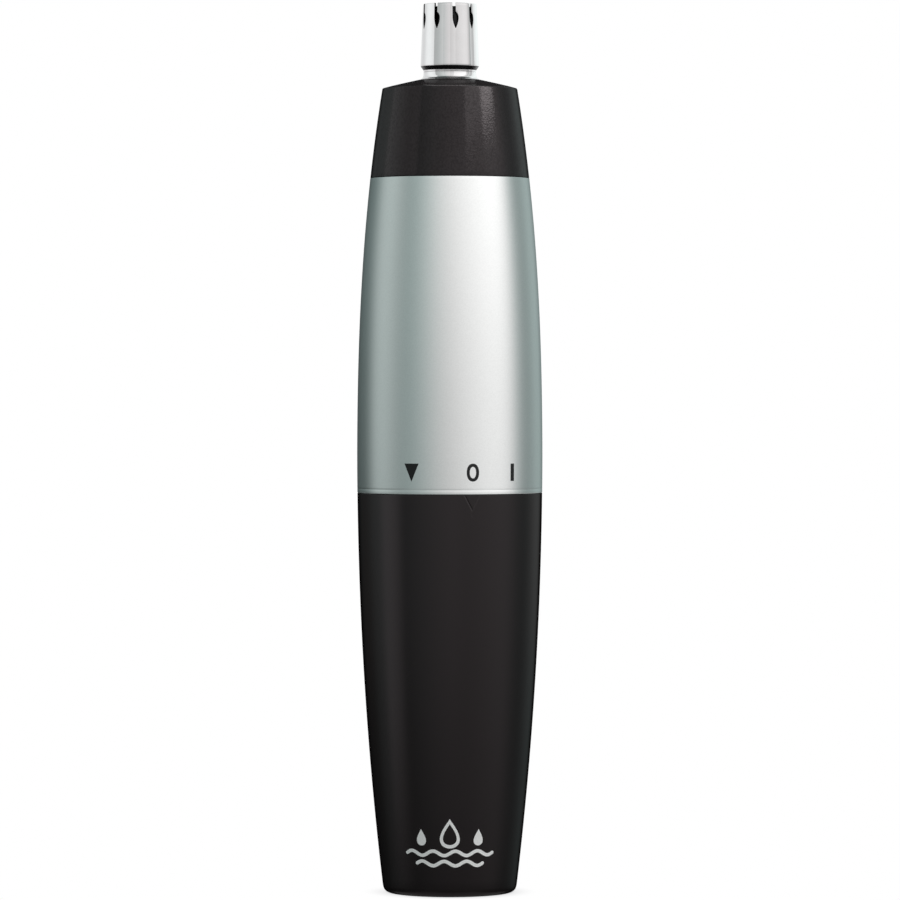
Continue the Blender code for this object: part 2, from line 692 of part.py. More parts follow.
def head_core():
    """The hub for the spindle, joined by a web to the plug that fits the socket."""
    profile = [
        (HUB_BORE, 102.7), (HUB_R, 102.7), (HUB_R, 104.6), (6.9, 104.6), (6.9, 97.6),
        (8.2, 97.6), (8.4, 97.9), (8.4, 102.9), (7.6, 102.9), (7.6, 104.5), (8.4, 104.5),
        (8.4, 108.15), (10.4, 108.15), (10.4, 110.2), (6.9, 110.2), (6.9, 106.2),
        (HUB_R, 106.2), (HUB_R, 117.0), (HUB_BORE, 117.0),
    ]
    lathe("head_core", "head", "grey_plastic", profile, SEG_SMALL)
    o_ring("head_o_ring", "head", 8.17, 0.5, 103.7, SEG_SMALL)
    for end, bottom, top in (("lower", 102.9, 106.0), ("upper", 113.6, 116.8)):
        tube(f"spindle_bush_{end}", "head", "brass", SPINDLE_BORE, SPINDLE_BUSH_R,
             bottom, top, SEG_PIN)


def neck_ring():
    lathe("neck_ring", "head", "chrome",
          [(3.8, 123.55), (4.38, 123.55), (4.42, 123.7), (4.22, 123.98), (4.05, 124.25),
           (4.0, 124.5), (3.8, 124.5)], SEG_MID)


# A slit open at the rim that widens into a leaf with its point down: (across, z)
HAIR_SLOT = [
    (-0.47, 136.0), (0.03, 136.0), (0.03, 133.6), (0.43, 133.2), (0.46, 132.4),
    (0.3, 131.7), (0.0, 131.05), (-0.33, 131.7), (-0.47, 132.4),
]


def cutter_sleeve():
    """The slotted outer tube at the tip, with its circlip."""
    profile = [
        (FOOT_BORE, 113.0), (FOOT_R, 113.0),
        (FOOT_R, 120.85), (3.42, 120.85), (3.42, 121.65), (FOOT_R, 121.65),  # circlip groove
        (FOOT_R, 124.57), (4.0, 124.57), (4.03, 124.85), (4.4, 125.4), (SLEEVE_LIP_R, 125.55),
        (SLEEVE_TIP_R, 134.75), (SLEEVE_TIP_R - 0.1, TIP_Z), (SLEEVE_BORE + 0.05, TIP_Z),
        (SLEEVE_BORE, 134.8), (SLEEVE_BORE, 125.2), (FOOT_BORE, 124.6),
    ]
    sleeve = lathe("cutter_sleeve", "head", "chrome", profile, SEG_MID)
    turns = [around(HAIR_SLOT_PHASE + 360.0 / HAIR_SLOTS * i) for i in range(HAIR_SLOTS)]
    combine(sleeve, "head", "DIFFERENCE", radial_prisms(HAIR_SLOT, 3.2, 5.5, turns))
    arc_block("sleeve_circlip", "head", "spring_steel", 3.52, 5.1, 120.95, 121.45,
              middle=around(90), span=300, segments=14)


# ---------------------------------------------------------------- spindle and inner cutter

def hexagon(corner_radius):
    """A hexagon with a corner on +X, as a radius for each angle."""
    def radius(angle):
        from_corner = abs((angle + math.pi / 6) % (math.pi / 3) - math.pi / 6)
        return corner_radius * math.cos(math.pi / 6) / math.cos(from_corner - math.pi / 6)
    return radius


def spindle():
    """A round rod with a hexagonal upper part and a groove for each clip."""
    drive = hexagon(SPINDLE_R)
    stations = [
        (0, 99.6), (1.05, 99.6), (SPINDLE_R, 99.8),
        (SPINDLE_R, 117.15), (0.98, 117.15), (0.98, 117.65), (SPINDLE_R, 117.65),
        (SPINDLE_R, 125.0), (drive, 125.3), (drive, 130.1),
        (0.8, 130.15), (0.8, 130.6), (1.05, 130.65), (0.9, 131.1), (0, 131.2),
    ]
    outline_lathe("spindle", "spindle", "steel", stations, even_angles(12))


def spindle_cup():
    """A cup open downwards, with two ribs inside."""
    cup = lathe("spindle_cup", "spindle", "acetal",
                [(SPINDLE_BORE, 102.4), (SPINDLE_BORE, 100.6), (3.9, 100.6), (3.9, 96.2),
                 (4.9, 96.2), (4.9, 101.9), (4.4, 102.4)], SEG_SMALL)
    combine(cup, "spindle", "UNION", blocks(2.5, 4.3, 1.2, 96.5, 100.9, (90, 270)))


def spindle_fittings():
    body = "spindle"
    for name, inner, outer, bottom, top in (
        ("spindle_circlip", 1.02, 2.3, 117.22, 117.58),
        ("cutter_clip", 0.86, 1.95, 130.2, 130.5),
    ):
        arc_block(name, body, "spring_steel", inner, outer, bottom, top,
                  middle=around(90), span=300, segments=12)
    tube("spring_washer", body, "zinc", 1.3, 2.6, 117.72, 117.98, SEG_PIN)
    wire("cutter_spring", body, "spring_steel", helix(1.95, 1.95, 118.25, 126.3, turns=5.5),
         0.22, bevel_resolution=0)


def inner_cutter():
    """A cup open upwards on a hexagonal hub, its wall split by one slot right across."""
    body = "inner_cutter"
    hole, inside = hexagon(CUTTER_HOLE_R), CUTTER_R - CUTTER_WALL
    stations = [
        (hole, CUTTER_BOTTOM), (CUTTER_R, CUTTER_BOTTOM), (CUTTER_R, CUTTER_TOP),
        (inside, CUTTER_TOP), (inside, 127.9), (2.1, 127.9),
        (2.1, CUTTER_HUB_TOP), (hole, CUTTER_HUB_TOP),
    ]
    cutter = outline_lathe("inner_cutter", body, "steel", stations, even_angles(24))
    combine(cutter, body, "DIFFERENCE", blocks(-6, 6, 2.7, 130.75, 136.0, [0]))


# ---------------------------------------------------------------- build

for old in list(bpy.data.objects):
    bpy.data.objects.remove(old)

for body_row in BODIES:
    add_body(*body_row)

for build in (
    lower_barrel, battery, negative_contacts, switch_ring,
    barrel_sleeve, motor_chassis, head_socket, spigot_rings,
    motor_can, motor_end_cap, motor_fittings, screws, wiring,
    motor_shaft, armature, commutator, drive_dog,
    head_collar, head_core, neck_ring, cutter_sleeve,
    spindle, spindle_cup, spindle_fittings, inner_cutter,
):
    build()
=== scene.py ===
"""Nose hair trimmer: the fine surfaces, finishes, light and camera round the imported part.

It stands upright on z = 0 with its axis on Z, the cutter at the top and the front towards -Y.
Sizes are in millimetres unless a name or comment says otherwise. Angles of features are in
degrees from the front, positive towards +X.
"""

import json
import math

import bmesh
import bpy
from mathutils import Matrix, Vector


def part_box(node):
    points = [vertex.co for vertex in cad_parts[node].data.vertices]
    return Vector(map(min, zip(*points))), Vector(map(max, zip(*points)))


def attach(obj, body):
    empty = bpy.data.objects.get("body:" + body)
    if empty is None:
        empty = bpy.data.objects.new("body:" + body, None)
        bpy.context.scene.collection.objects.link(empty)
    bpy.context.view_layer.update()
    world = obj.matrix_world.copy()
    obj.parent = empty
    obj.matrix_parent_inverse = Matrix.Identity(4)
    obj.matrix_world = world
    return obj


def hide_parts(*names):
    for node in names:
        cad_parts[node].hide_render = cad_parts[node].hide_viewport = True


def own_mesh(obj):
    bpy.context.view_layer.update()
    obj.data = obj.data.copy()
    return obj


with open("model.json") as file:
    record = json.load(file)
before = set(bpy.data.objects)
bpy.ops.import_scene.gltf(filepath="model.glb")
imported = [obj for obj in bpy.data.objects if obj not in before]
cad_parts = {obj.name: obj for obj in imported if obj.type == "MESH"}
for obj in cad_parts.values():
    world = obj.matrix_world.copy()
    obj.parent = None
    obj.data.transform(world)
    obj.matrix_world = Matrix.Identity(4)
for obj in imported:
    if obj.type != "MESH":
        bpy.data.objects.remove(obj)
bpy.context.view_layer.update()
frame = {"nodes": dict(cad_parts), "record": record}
nodes = frame["nodes"]
MM = 0.001

# ------------------------------------------------------------------ driving sizes


def heights(node):
    """The lowest and highest z of a frame node."""
    low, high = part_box(node)
    return low[2] / MM, high[2] / MM


RIM_Z = heights("lower_barrel")[1]
SLEEVE_LOW, SLEEVE_HIGH = heights("barrel_sleeve")
COLLAR_LOW, NECK_Z = heights("head_collar")
TIP_Z = heights("cutter_sleeve")[1]

# The outside tapers both ways from its widest part: start height, loss of radius, power.
WIDEST_R = 14.09
LOWER_TAPER = (68.4, 3.166, 2.05)
UPPER_TAPER = (62.3, 4.017, 2.5)
TAPER_SPAN = 60.8

BARREL_WALL = 1.6
UPPER_WALL = 1.3
SEAM_GAP = 0.05
SLEEVE_FOOT = RIM_Z + SEAM_GAP
SLEEVE_TOP = SLEEVE_HIGH + SEAM_GAP
COLLAR_FOOT = SLEEVE_HIGH + 0.09

TIP_R = 4.07
LIP_R = 4.44
BORE_R = 3.6
SLOTS = 9
SLOT_PHASE = 12.3  # degrees from the front

MARK_OPEN, MARK_OFF, MARK_ON = -24.1, 14.25, 41.8  # degrees from the front
MARK_Z = 64.02
POINTER_AT = 13.9  # degrees from the front

MOTOR_SCREW_X = 5.2
SOCKET_SCREW_Y = 9.45


def outer(z):
    """Radius of the outside at height z."""
    radius = WIDEST_R
    start, loss, power = LOWER_TAPER
    if z < start:
        radius -= loss * ((start - z) / TAPER_SPAN) ** power
    start, loss, power = UPPER_TAPER
    if z > start:
        radius -= loss * ((z - start) / TAPER_SPAN) ** power
    return radius


def around(from_front):
    """Degrees about Z, counted from +X, of a place given in degrees from the front."""
    return from_front - 90.0


# ------------------------------------------------------------------ shader tools


class Graph:
    """A node tree with short ways to add nodes. A value may be a number, a colour or a socket."""

    def __init__(self, tree):
        self.tree = tree

    def feed(self, socket, value):
        if isinstance(value, bpy.types.NodeSocket):
            self.tree.links.new(value, socket)
        elif socket.type == "RGBA" and len(value) == 3:
            socket.default_value = (*value, 1.0)
        else:
            socket.default_value = value

    def node(self, kind, inputs=None, **settings):
        made = self.tree.nodes.new(kind)
        for key, value in settings.items():
            setattr(made, key, value)
        for key, value in (inputs or {}).items():
            self.feed(made.inputs[key], value)
        return made

    def math(self, operation, *values):
        inputs = dict(enumerate(values))
        return self.node("ShaderNodeMath", inputs, operation=operation).outputs[0]

    def mix(self, share, first, second, blend="MIX"):
        # Inputs 6 and 7 of a Mix node are its colours.
        inputs = {0: share, 6: first, 7: second}
        made = self.node("ShaderNodeMix", inputs, data_type="RGBA", blend_type=blend)
        return made.outputs[2]

    def ramp(self, value, stops, interpolation="LINEAR"):
        """A colour ramp of (position, grey level or colour) stops."""
        made = self.node("ShaderNodeValToRGB", {"Fac": value})
        made.color_ramp.interpolation = interpolation
        elements = made.color_ramp.elements
        placed = [elements[0], elements[1]]
        for element, (at, _) in zip(placed, (stops[0], stops[-1])):
            element.position = at
        for element, (_, tone) in zip(placed, (stops[0], stops[-1])):
            element.color = opaque(tone)
        for at, tone in stops[1:-1]:
            elements.new(at).color = opaque(tone)
        return made.outputs["Color"]


def opaque(tone):
    return (*tone, 1.0) if isinstance(tone, tuple) else (tone, tone, tone, 1.0)


LOOKS = {}


class Look(Graph):
    """A Principled material in LOOKS, with its texture coordinates in millimetres."""

    def __init__(self, name, key=None):
        material = bpy.data.materials.new(name)
        LOOKS[key or name] = material
        material.use_nodes = True
        super().__init__(material.node_tree)
        self.bsdf = self.tree.nodes["Principled BSDF"]
        coord = self.node("ShaderNodeTexCoord")
        self.place = coord.outputs["Object"]
        self.place = self.scaled(1000, 1000, 1000)
        self.normal = None

    def set(self, **values):
        for key, value in values.items():
            self.feed(self.bsdf.inputs[key.replace("_", " ")], value)

    def scaled(self, x, y, z):
        inputs = {"Scale": (x, y, z), "Vector": self.place}
        return self.node("ShaderNodeMapping", inputs).outputs[0]

    def noise(self, scale, detail=2.0, rough=0.5, vector=None, seed=0.0):
        inputs = {"Scale": scale, "Detail": detail, "Roughness": rough, "W": seed,
                  "Vector": vector or self.place}
        made = self.node("ShaderNodeTexNoise", inputs, noise_dimensions="4D")
        return made.outputs["Fac"]

    def cells(self, scale):
        return self.node("ShaderNodeTexVoronoi", {"Scale": scale, "Vector": self.place}).outputs

    def bands(self, inputs, **settings):
        """Level bands stacked along Z."""
        return self.node("ShaderNodeTexWave", {"Vector": self.place, **inputs},
                         wave_type="BANDS", bands_direction="Z", **settings).outputs["Fac"]

    def tones(self, value, colour, low, high, margin=0.3):
        """From low to high times a colour; the ramp starts and ends at a margin from 0 and 1."""
        stops = [(at, tuple(min(1.0, c * level) for c in colour))
                 for at, level in ((margin, low), (1 - margin, high))]
        return self.ramp(value, stops)

    def rough(self, value, low, high):
        inputs = {"To Min": low, "To Max": high, "Value": value}
        self.set(Roughness=self.node("ShaderNodeMapRange", inputs).outputs[0])

    def dull_edges(self, level, edge_level, grain=None):
        """A matte coat loses its sheen where it is seen nearly edge on. grain scales the sheen."""
        facing = self.node("ShaderNodeLayerWeight", {"Blend": 0.5}).outputs["Facing"]
        inputs = {"From Min": 0.45, "From Max": 0.82, "To Min": level, "To Max": edge_level,
                  "Value": facing}
        made = self.node("ShaderNodeMapRange", inputs, interpolation_type="SMOOTHSTEP")
        sheen = made.outputs[0]
        if grain is not None:
            sheen = self.math("MULTIPLY", sheen, grain)
        self.set(Specular_IOR_Level=sheen)

    def bump(self, value, strength, depth):
        """Relief of a depth in mm, over any relief added before."""
        inputs = {"Strength": strength, "Distance": depth * MM, "Height": value}
        if self.normal is not None:
            inputs["Normal"] = self.normal
        self.normal = self.node("ShaderNodeBump", inputs).outputs[0]
        self.set(Normal=self.normal)


# ------------------------------------------------------------------ materials


def plastic(name, colour, roughness, grain, strength, level=0.5, tone=0.12):
    """Moulded or painted plastic: fine grain, slight cloudiness."""
    look = Look(name)
    look.set(Metallic=0.0, Specular_IOR_Level=level)
    cloud = look.noise(scale=0.12, detail=3.0, rough=0.55, seed=3.0)
    fine = look.noise(scale=grain, detail=2.0, rough=0.6, seed=7.0)
    tint = look.tones(cloud, colour, low=1 - tone, high=1 + tone)
    speckle = look.tones(fine, colour, low=0.8, high=1.2, margin=0.35)
    look.set(Base_Color=look.mix(0.25, tint, speckle))
    look.rough(cloud, low=roughness - 0.03, high=roughness + 0.03)
    look.bump(fine, strength=strength, depth=0.02)


def metal(name, colour, roughness, lines=(0.4, 0.4, 9.0)):
    """Turned or drawn metal: lines scales its fine marks in x, y and z."""
    look = Look(name)
    look.set(Metallic=1.0)
    marks = look.noise(scale=1.6, detail=3.0, rough=0.6, vector=look.scaled(*lines), seed=11.0)
    cloud = look.noise(scale=0.3, detail=2.0, rough=0.5, seed=5.0)
    tone = 0.06
    streaks = look.tones(marks, colour, low=1 - tone, high=1 + tone)
    tint = look.tones(cloud, colour, low=1 - tone, high=1.0, margin=0.35)
    look.set(Base_Color=look.mix(0.5, streaks, tint))
    look.rough(marks, low=roughness * 0.85, high=roughness * 1.2)
    look.bump(marks, strength=0.06, depth=0.01)


def satin_silver():
    """Satin metallic paint: fine flakes under a smooth coat."""
    look = Look("satin_silver")
    base = (0.772, 0.776, 0.770)
    look.set(Metallic=1.0)
    flake = look.cells(scale=7.0)["Color"]
    grey = look.node("ShaderNodeRGBToBW", {0: flake}).outputs[0]
    fine = look.noise(scale=9.0, detail=2.0, rough=0.6, seed=2.0)
    cloud = look.noise(scale=0.05, detail=2.0, rough=0.5, seed=9.0)
    tint = look.tones(cloud, base, low=0.985, high=1.01)
    flakes = look.tones(grey, base, low=0.93, high=1.06, margin=0.2)
    look.set(Base_Color=look.mix(0.35, tint, flakes))
    look.rough(fine, low=0.27, high=0.33)
    look.bump(fine, strength=0.10, depth=0.006)


def soft_touch_black():
    """Soft-touch black coat: matte, with a fine even grain."""
    look = Look("soft_touch_black")
    base = (0.0074, 0.0060, 0.0061)
    look.set(Metallic=0.0, Specular_Tint=(1.0, 0.90, 0.93))
    look.dull_edges(level=0.33, edge_level=0.0)
    fine = look.noise(scale=6.0, detail=3.0, rough=0.6, seed=4.0)
    cloud = look.noise(scale=0.06, detail=3.0, rough=0.5, seed=1.0)
    tint = look.tones(cloud, base, low=0.95, high=1.05)
    speckle = look.tones(fine, base, low=0.8, high=1.2)
    look.set(Base_Color=look.mix(0.3, tint, speckle))
    look.rough(cloud, low=0.27, high=0.32)
    look.bump(fine, strength=0.10, depth=0.008)


def satin_black():
    """Satin moulded black with a fine spark grain that shows in the highlight."""
    look = Look("satin_black")
    base = (0.0120, 0.0102, 0.0106)
    look.set(Metallic=0.0, Specular_Tint=(1.0, 0.905, 0.925))
    fine = look.noise(scale=4.2, detail=3.0, rough=0.65, seed=6.0)
    spark = look.noise(scale=6.5, detail=1.0, rough=0.5, seed=8.0)
    cloud = look.noise(scale=0.1, detail=2.0, rough=0.5, seed=12.0)
    pips = look.cells(scale=3.4)["Distance"]
    tint = look.tones(cloud, base, low=0.93, high=1.07)
    speckle = look.tones(fine, base, low=0.75, high=1.3)
    look.set(Base_Color=look.mix(0.3, tint, speckle))
    sheen = look.ramp(pips, [(0.05, 1.12), (0.42, 1.0), (0.75, 0.74)])
    look.dull_edges(level=0.24, edge_level=0.001, grain=sheen)
    look.rough(fine, low=0.09, high=0.15)
    look.bump(pips, strength=0.30, depth=0.016)
    look.bump(spark, strength=0.35, depth=0.010)


def polished_chrome():
    look = Look("polished_chrome")
    look.set(Metallic=1.0)
    roughness = 0.045
    cloud = look.noise(scale=0.6, detail=3.0, rough=0.5, seed=3.0)
    fine = look.noise(scale=5.0, vector=look.scaled(1, 1, 0.25), seed=2.0)
    look.set(Base_Color=look.tones(cloud, (0.546, 0.536, 0.537), low=0.98, high=1.02))
    look.rough(fine, low=roughness * 0.8, high=roughness * 1.25)
    look.bump(fine, strength=0.03, depth=0.004)


def ink(name, colour):
    """Printed ink: slightly uneven cover."""
    look = Look(name)
    look.set(Metallic=0.0, Specular_IOR_Level=0.3)
    fine = look.noise(scale=6.0, detail=3.0, rough=0.6, seed=5.0)
    look.set(Base_Color=look.tones(fine, colour, low=0.9, high=1.08))
    look.rough(fine, low=0.46, high=0.54)
    look.bump(fine, strength=0.1, depth=0.004)


def cell_jacket():
    """A plain wrapped cell: dark blue body, pale band, lighter blue positive end, bare rims."""
    look = Look("cell_jacket")
    foot, top = heights("battery_cell")
    split = look.node("ShaderNodeSeparateXYZ", {0: look.place})
    along = look.math("DIVIDE", look.math("SUBTRACT", split.outputs[2], foot), top - foot)
    dark_blue, pale, blue = (0.012, 0.045, 0.11), (0.55, 0.56, 0.57), (0.03, 0.10, 0.20)
    # Share of the cell's height, colour.
    bands = [(0.0, (0.45, 0.46, 0.47)), (0.012, dark_blue), (0.70, dark_blue), (0.7001, pale),
             (0.715, pale), (0.7151, blue), (0.985, blue), (0.9851, (0.5, 0.5, 0.51))]
    look.set(Base_Color=look.ramp(along, bands, "CONSTANT"))
    look.set(Metallic=0.55, Coat_Weight=0.4)
    fine = look.noise(scale=3.0)
    look.rough(fine, low=0.24, high=0.32)
    look.bump(fine, strength=0.05, depth=0.01)


def copper_windings():
    """Enamelled copper wire: fine parallel turns."""
    look = Look("copper_windings", key="copper")
    look.set(Metallic=0.9)
    turns = look.bands({"Scale": 1.2, "Distortion": 0.6})
    look.set(Base_Color=look.ramp(turns, [(0.0, (0.30, 0.09, 0.04)), (1.0, (0.80, 0.36, 0.17))]))
    look.rough(turns, low=0.4, high=0.28)
    look.bump(turns, strength=0.5, depth=0.05)


def laminated_iron():
    """Stacked iron sheets."""
    look = Look("laminated_iron")
    look.set(Metallic=0.8)
    sheets = look.bands({"Scale": 0.6}, wave_profile="SAW")
    tones = [(0.0, (0.05, 0.05, 0.055)), (0.15, (0.22, 0.22, 0.23)), (1.0, (0.27, 0.27, 0.28))]
    look.set(Base_Color=look.ramp(sheets, tones))
    look.rough(look.noise(scale=2.0), low=0.4, high=0.55)
    look.bump(sheets, strength=0.4, depth=0.05)


satin_silver()
soft_touch_black()
satin_black()
polished_chrome()
plastic("white_plastic", colour=(0.62, 0.62, 0.59), roughness=0.42, grain=3.0, strength=0.08,
        tone=0.03)
plastic("grey_plastic", colour=(0.055, 0.058, 0.062), roughness=0.48, grain=4.0, strength=0.15)
plastic("acetal", colour=(0.56, 0.54, 0.47), roughness=0.36, grain=2.5, strength=0.06, tone=0.04)
plastic("rubber", colour=(0.018, 0.018, 0.018), roughness=0.62, grain=6.0, strength=0.25,
        level=0.35)
metal("steel", colour=(0.60, 0.61, 0.62), roughness=0.26)
metal("spring_steel", colour=(0.46, 0.47, 0.49), roughness=0.30, lines=(2, 2, 2))
laminated_iron()
plastic("ferrite", colour=(0.045, 0.045, 0.048), roughness=0.55, grain=2.0, strength=0.3)
copper_windings()
metal("brass", colour=(0.78, 0.60, 0.30), roughness=0.28)
metal("plated_contact", colour=(0.70, 0.70, 0.69), roughness=0.18, lines=(1.5, 1.5, 1.5))
cell_jacket()
for insulation, insulation_colour in (("red_insulation", (0.42, 0.022, 0.015)),
                                      ("black_insulation", (0.018, 0.018, 0.018))):
    plastic(insulation, colour=insulation_colour, roughness=0.38, grain=2.0, strength=0.05)
ink("mark_ink", colour=(0.0125, 0.0125, 0.013))
ink("pale_ink", colour=(0.93, 0.93, 0.92))
# The blade's near-black colour is painted shade, for a blade that sits in shade inside the sleeve.
metal("blade_steel", colour=(0.015, 0.015, 0.0155), roughness=0.16, lines=(1.0, 1.0, 6.0))
# Near-black metal for the cutter sleeve's slot walls and lip underside: painted shade.
metal("slot_edge", colour=(0.030, 0.030, 0.031), roughness=0.35, lines=(2.0, 2.0, 2.0))

slot_of = {row["node"]: row["material_slot"] for row in frame["record"]["subparts"]}
for node_name, node_object in nodes.items():
    node_object.data.materials.clear()
    node_object.data.materials.append(LOOKS[slot_of[node_name]])

# ------------------------------------------------------------------ modelling tools
# A profile is a list of (radius, z) or (radius, z, fillet) points that goes round Z.


def smooth(mesh, sharp=32.0):
    mesh.shade_smooth()
    mesh.set_sharp_from_angle(angle=math.radians(sharp))


def to_object(name, work):
    """An object from a bmesh in millimetres."""
    bmesh.ops.recalc_face_normals(work, faces=work.faces)
    return link_mesh(name, work)


def link_mesh(name, work):
    bmesh.ops.scale(work, verts=work.verts, vec=(MM, MM, MM))
    mesh = bpy.data.meshes.new(name)
    work.to_mesh(mesh)
    work.free()
    obj = bpy.data.objects.new(name, mesh)
    bpy.context.scene.collection.objects.link(obj)
    return obj


def finish(name, body, look, work, sharp=32.0, node=None):
    """A visible piece that rides on a body, in place of a frame node if one is named."""
    obj = to_object(name, work)
    obj.data.materials.append(LOOKS[look])
    smooth(obj.data, sharp)
    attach(obj, body)
    if node:
        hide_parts(node)
    return obj


def stand_in(node, body, look, work, sharp=32.0, ending="_fine"):
    """A piece that replaces a frame node, in the look given."""
    return finish(node + ending, body, look, work, sharp, node)


def circle(count):
    return [2 * math.pi * i / count for i in range(count)]


def polar(radius, angle, z):
    return radius * math.cos(angle), radius * math.sin(angle), z


def spaced(start, end, spacing):
    count = max(1, round((end - start) / spacing))
    return [start + (end - start) * i / count for i in range(count + 1)]


def rounded(profile, steps):
    """A closed profile with its fillets turned into points, steps to each."""
    points = []
    for i, station in enumerate(profile):
        if len(station) < 3:
            points.append(station)
            continue
        corner = Vector(station[:2])
        before = Vector(profile[i - 1][:2])
        after = Vector(profile[(i + 1) % len(profile)][:2])
        back, ahead = (before - corner).normalized(), (after - corner).normalized()
        half = math.acos(max(-1.0, min(1.0, back.dot(ahead)))) / 2
        if half < 1e-3 or abs(half - math.pi / 2) < 1e-3:
            points.append(station[:2])
            continue
        cut = min(station[2] / math.tan(half), (before - corner).length * 0.49,
                  (after - corner).length * 0.49)
        radius = cut * math.tan(half)
        centre = corner + (back + ahead).normalized() * (radius / math.sin(half))
        start, end = corner + back * cut - centre, corner + ahead * cut - centre
        sweep = math.atan2(start.x * end.y - start.y * end.x, start.dot(end))
        for k in range(steps + 1):
            turn = sweep * k / steps
            points.append((centre.x + start.x * math.cos(turn) - start.y * math.sin(turn),
                           centre.y + start.x * math.sin(turn) + start.y * math.cos(turn)))
    return points


def skin(work, rings):
    """Faces between each ring and the next. A ring may be one vertex repeated."""
    for low, high in zip(rings, rings[1:]):
        for i in range(len(low)):
            j = (i + 1) % len(low)
            work.faces.new(list(dict.fromkeys((low[i], low[j], high[j], high[i]))))


def capped(work, rings):
    skin(work, rings)
    work.faces.new(rings[0][::-1])
    work.faces.new(rings[-1])


def turned(node, body, look, profile, segments=128, angles=None, shape=None, sharp=32.0,
           ending="_fine"):
    """A turned piece. shape(angle, radius, z) may change the radius at an angle."""
    angles = angles or circle(segments)
    work = bmesh.new()
    rings = []
    for radius, z in profile:
        if radius <= 1e-6:
            rings.append([work.verts.new((0, 0, z))] * len(angles))
            continue
        ring = []
        for angle in angles:
            reach = shape(angle, radius, z) if shape else radius
            ring.append(work.verts.new(polar(reach, angle, z)))
        rings.append(ring)
    on_axis = rings[0][0] == rings[0][1]
    skin(work, rings if on_axis else rings + rings[:1])
    return stand_in(node, body, look, work, sharp, ending)


def blocks(boxes):
    """Boxes of (x0, x1, y0, y1, z0, z1, degrees turned about Z)."""
    work = bmesh.new()
    for x0, x1, y0, y1, z0, z1, turn in boxes:
        centre = Matrix.Translation(((x0 + x1) / 2, (y0 + y1) / 2, (z0 + z1) / 2))
        size = Matrix.Diagonal((x1 - x0, y1 - y0, z1 - z0, 1.0))
        turning = Matrix.Rotation(math.radians(turn), 4, "Z")
        bmesh.ops.create_cube(work, size=1.0, matrix=turning @ centre @ size)
    return work


def posts(rounds):
    """Upright cylinders of (x, y, radius, z0, z1)."""
    work = bmesh.new()
    for x, y, radius, z0, z1 in rounds:
        bmesh.ops.create_cone(work, cap_ends=True, cap_tris=False, segments=48, radius1=radius,
                              radius2=radius, depth=z1 - z0,
                              matrix=Matrix.Translation((x, y, (z0 + z1) / 2)))
    return work


def add_radial_prism(work, outline, inner_r, outer_r, turn):
    """Adds an outline of (across, z) points drawn outwards from inner_r to outer_r."""
    near = [work.verts.new((inner_r, across, z)) for across, z in outline]
    moved = bmesh.ops.extrude_face_region(work, geom=[work.faces.new(near)])
    far = [item for item in moved["geom"] if isinstance(item, bmesh.types.BMVert)]
    bmesh.ops.translate(work, verts=far, vec=(outer_r - inner_r, 0, 0))
    bmesh.ops.rotate(work, verts=near + far, cent=(0, 0, 0),
                     matrix=Matrix.Rotation(math.radians(turn), 3, "Z"))


def boolean(obj, work, operation="DIFFERENCE", bevel=0.0):
    """Cuts or joins a helper at once, so that the piece keeps a plain mesh."""
    helper = to_object(obj.name + "_helper", work)
    modifier = obj.modifiers.new("cut", "BOOLEAN")
    modifier.operation = operation
    modifier.solver = "EXACT"
    modifier.object = helper
    if bevel:
        edge = obj.modifiers.new("edge", "BEVEL")
        edge.width = bevel * MM
        edge.segments = 2
        edge.limit_method = "ANGLE"
        edge.angle_limit = math.radians(50)
        edge.use_clamp_overlap = True
    bpy.context.view_layer.update()
    graph = bpy.context.evaluated_depsgraph_get()
    mesh = bpy.data.meshes.new_from_object(obj.evaluated_get(graph))
    obj.modifiers.clear()
    old = obj.data
    obj.data = mesh
    mesh.name = obj.name
    smooth(mesh)
    bpy.data.meshes.remove(old)
    bpy.data.objects.remove(helper)


def o_ring(node, body, radius, wire, z):
    section = [(radius + wire * math.cos(turn), z + wire * math.sin(turn)) for turn in circle(20)]
    turned(node, body, "rubber", section, sharp=80)


def open_ring(node, body, inner_r, outer_r, z0, z1, middle, span, segments=64, edge=0.06):
    """An open ring of flat wire with softened edges: middle and span are in degrees."""
    section = rounded([(inner_r, z0, edge), (outer_r, z0, edge), (outer_r, z1, edge),
                       (inner_r, z1, edge)], 2)
    work = bmesh.new()
    rings = []
    for i in range(segments + 1):
        angle = math.radians(middle - span / 2 + span * i / segments)
        rings.append([work.verts.new(polar(radius, angle, z)) for radius, z in section])
    capped(work, rings)
    stand_in(node, body, "spring_steel", work)


def coil(node, body, start_r, end_r, start_z, end_z, turns, wire):
    """A spring of round wire with its end turns laid flatter."""
    work = bmesh.new()
    steps = int(turns * 40)
    flat = 0.5 / turns
    up = Vector((0, 0, 1))
    rings = []
    for i in range(steps + 1):
        share = i / steps
        rise = min(max((share - flat) / (1 - 2 * flat), 0.0), 1.0)
        rise = rise * rise * (3 - 2 * rise) * 0.3 + rise * 0.7
        radial = Vector(polar(1, 2 * math.pi * turns * share, 0))
        radius = start_r + (end_r - start_r) * share
        centre = radial * radius + up * (start_z + (end_z - start_z) * rise)
        rings.append([work.verts.new(centre + (radial * math.cos(b) + up * math.sin(b)) * wire)
                      for b in circle(12)])
    capped(work, rings)
    return stand_in(node, body, "spring_steel", work, sharp=60)


# ------------------------------------------------------------------ lower barrel
# The pointer is a V under the rim, in (across, down from the rim).

POINTER_ANGLE = math.radians(around(POINTER_AT))
POINTER_HALF_W, POINTER_H, GROOVE_H = 1.25, 2.25, 1.0
POINTER_TIP = (0.0, POINTER_H)
POCKET_DEPTH = 0.03
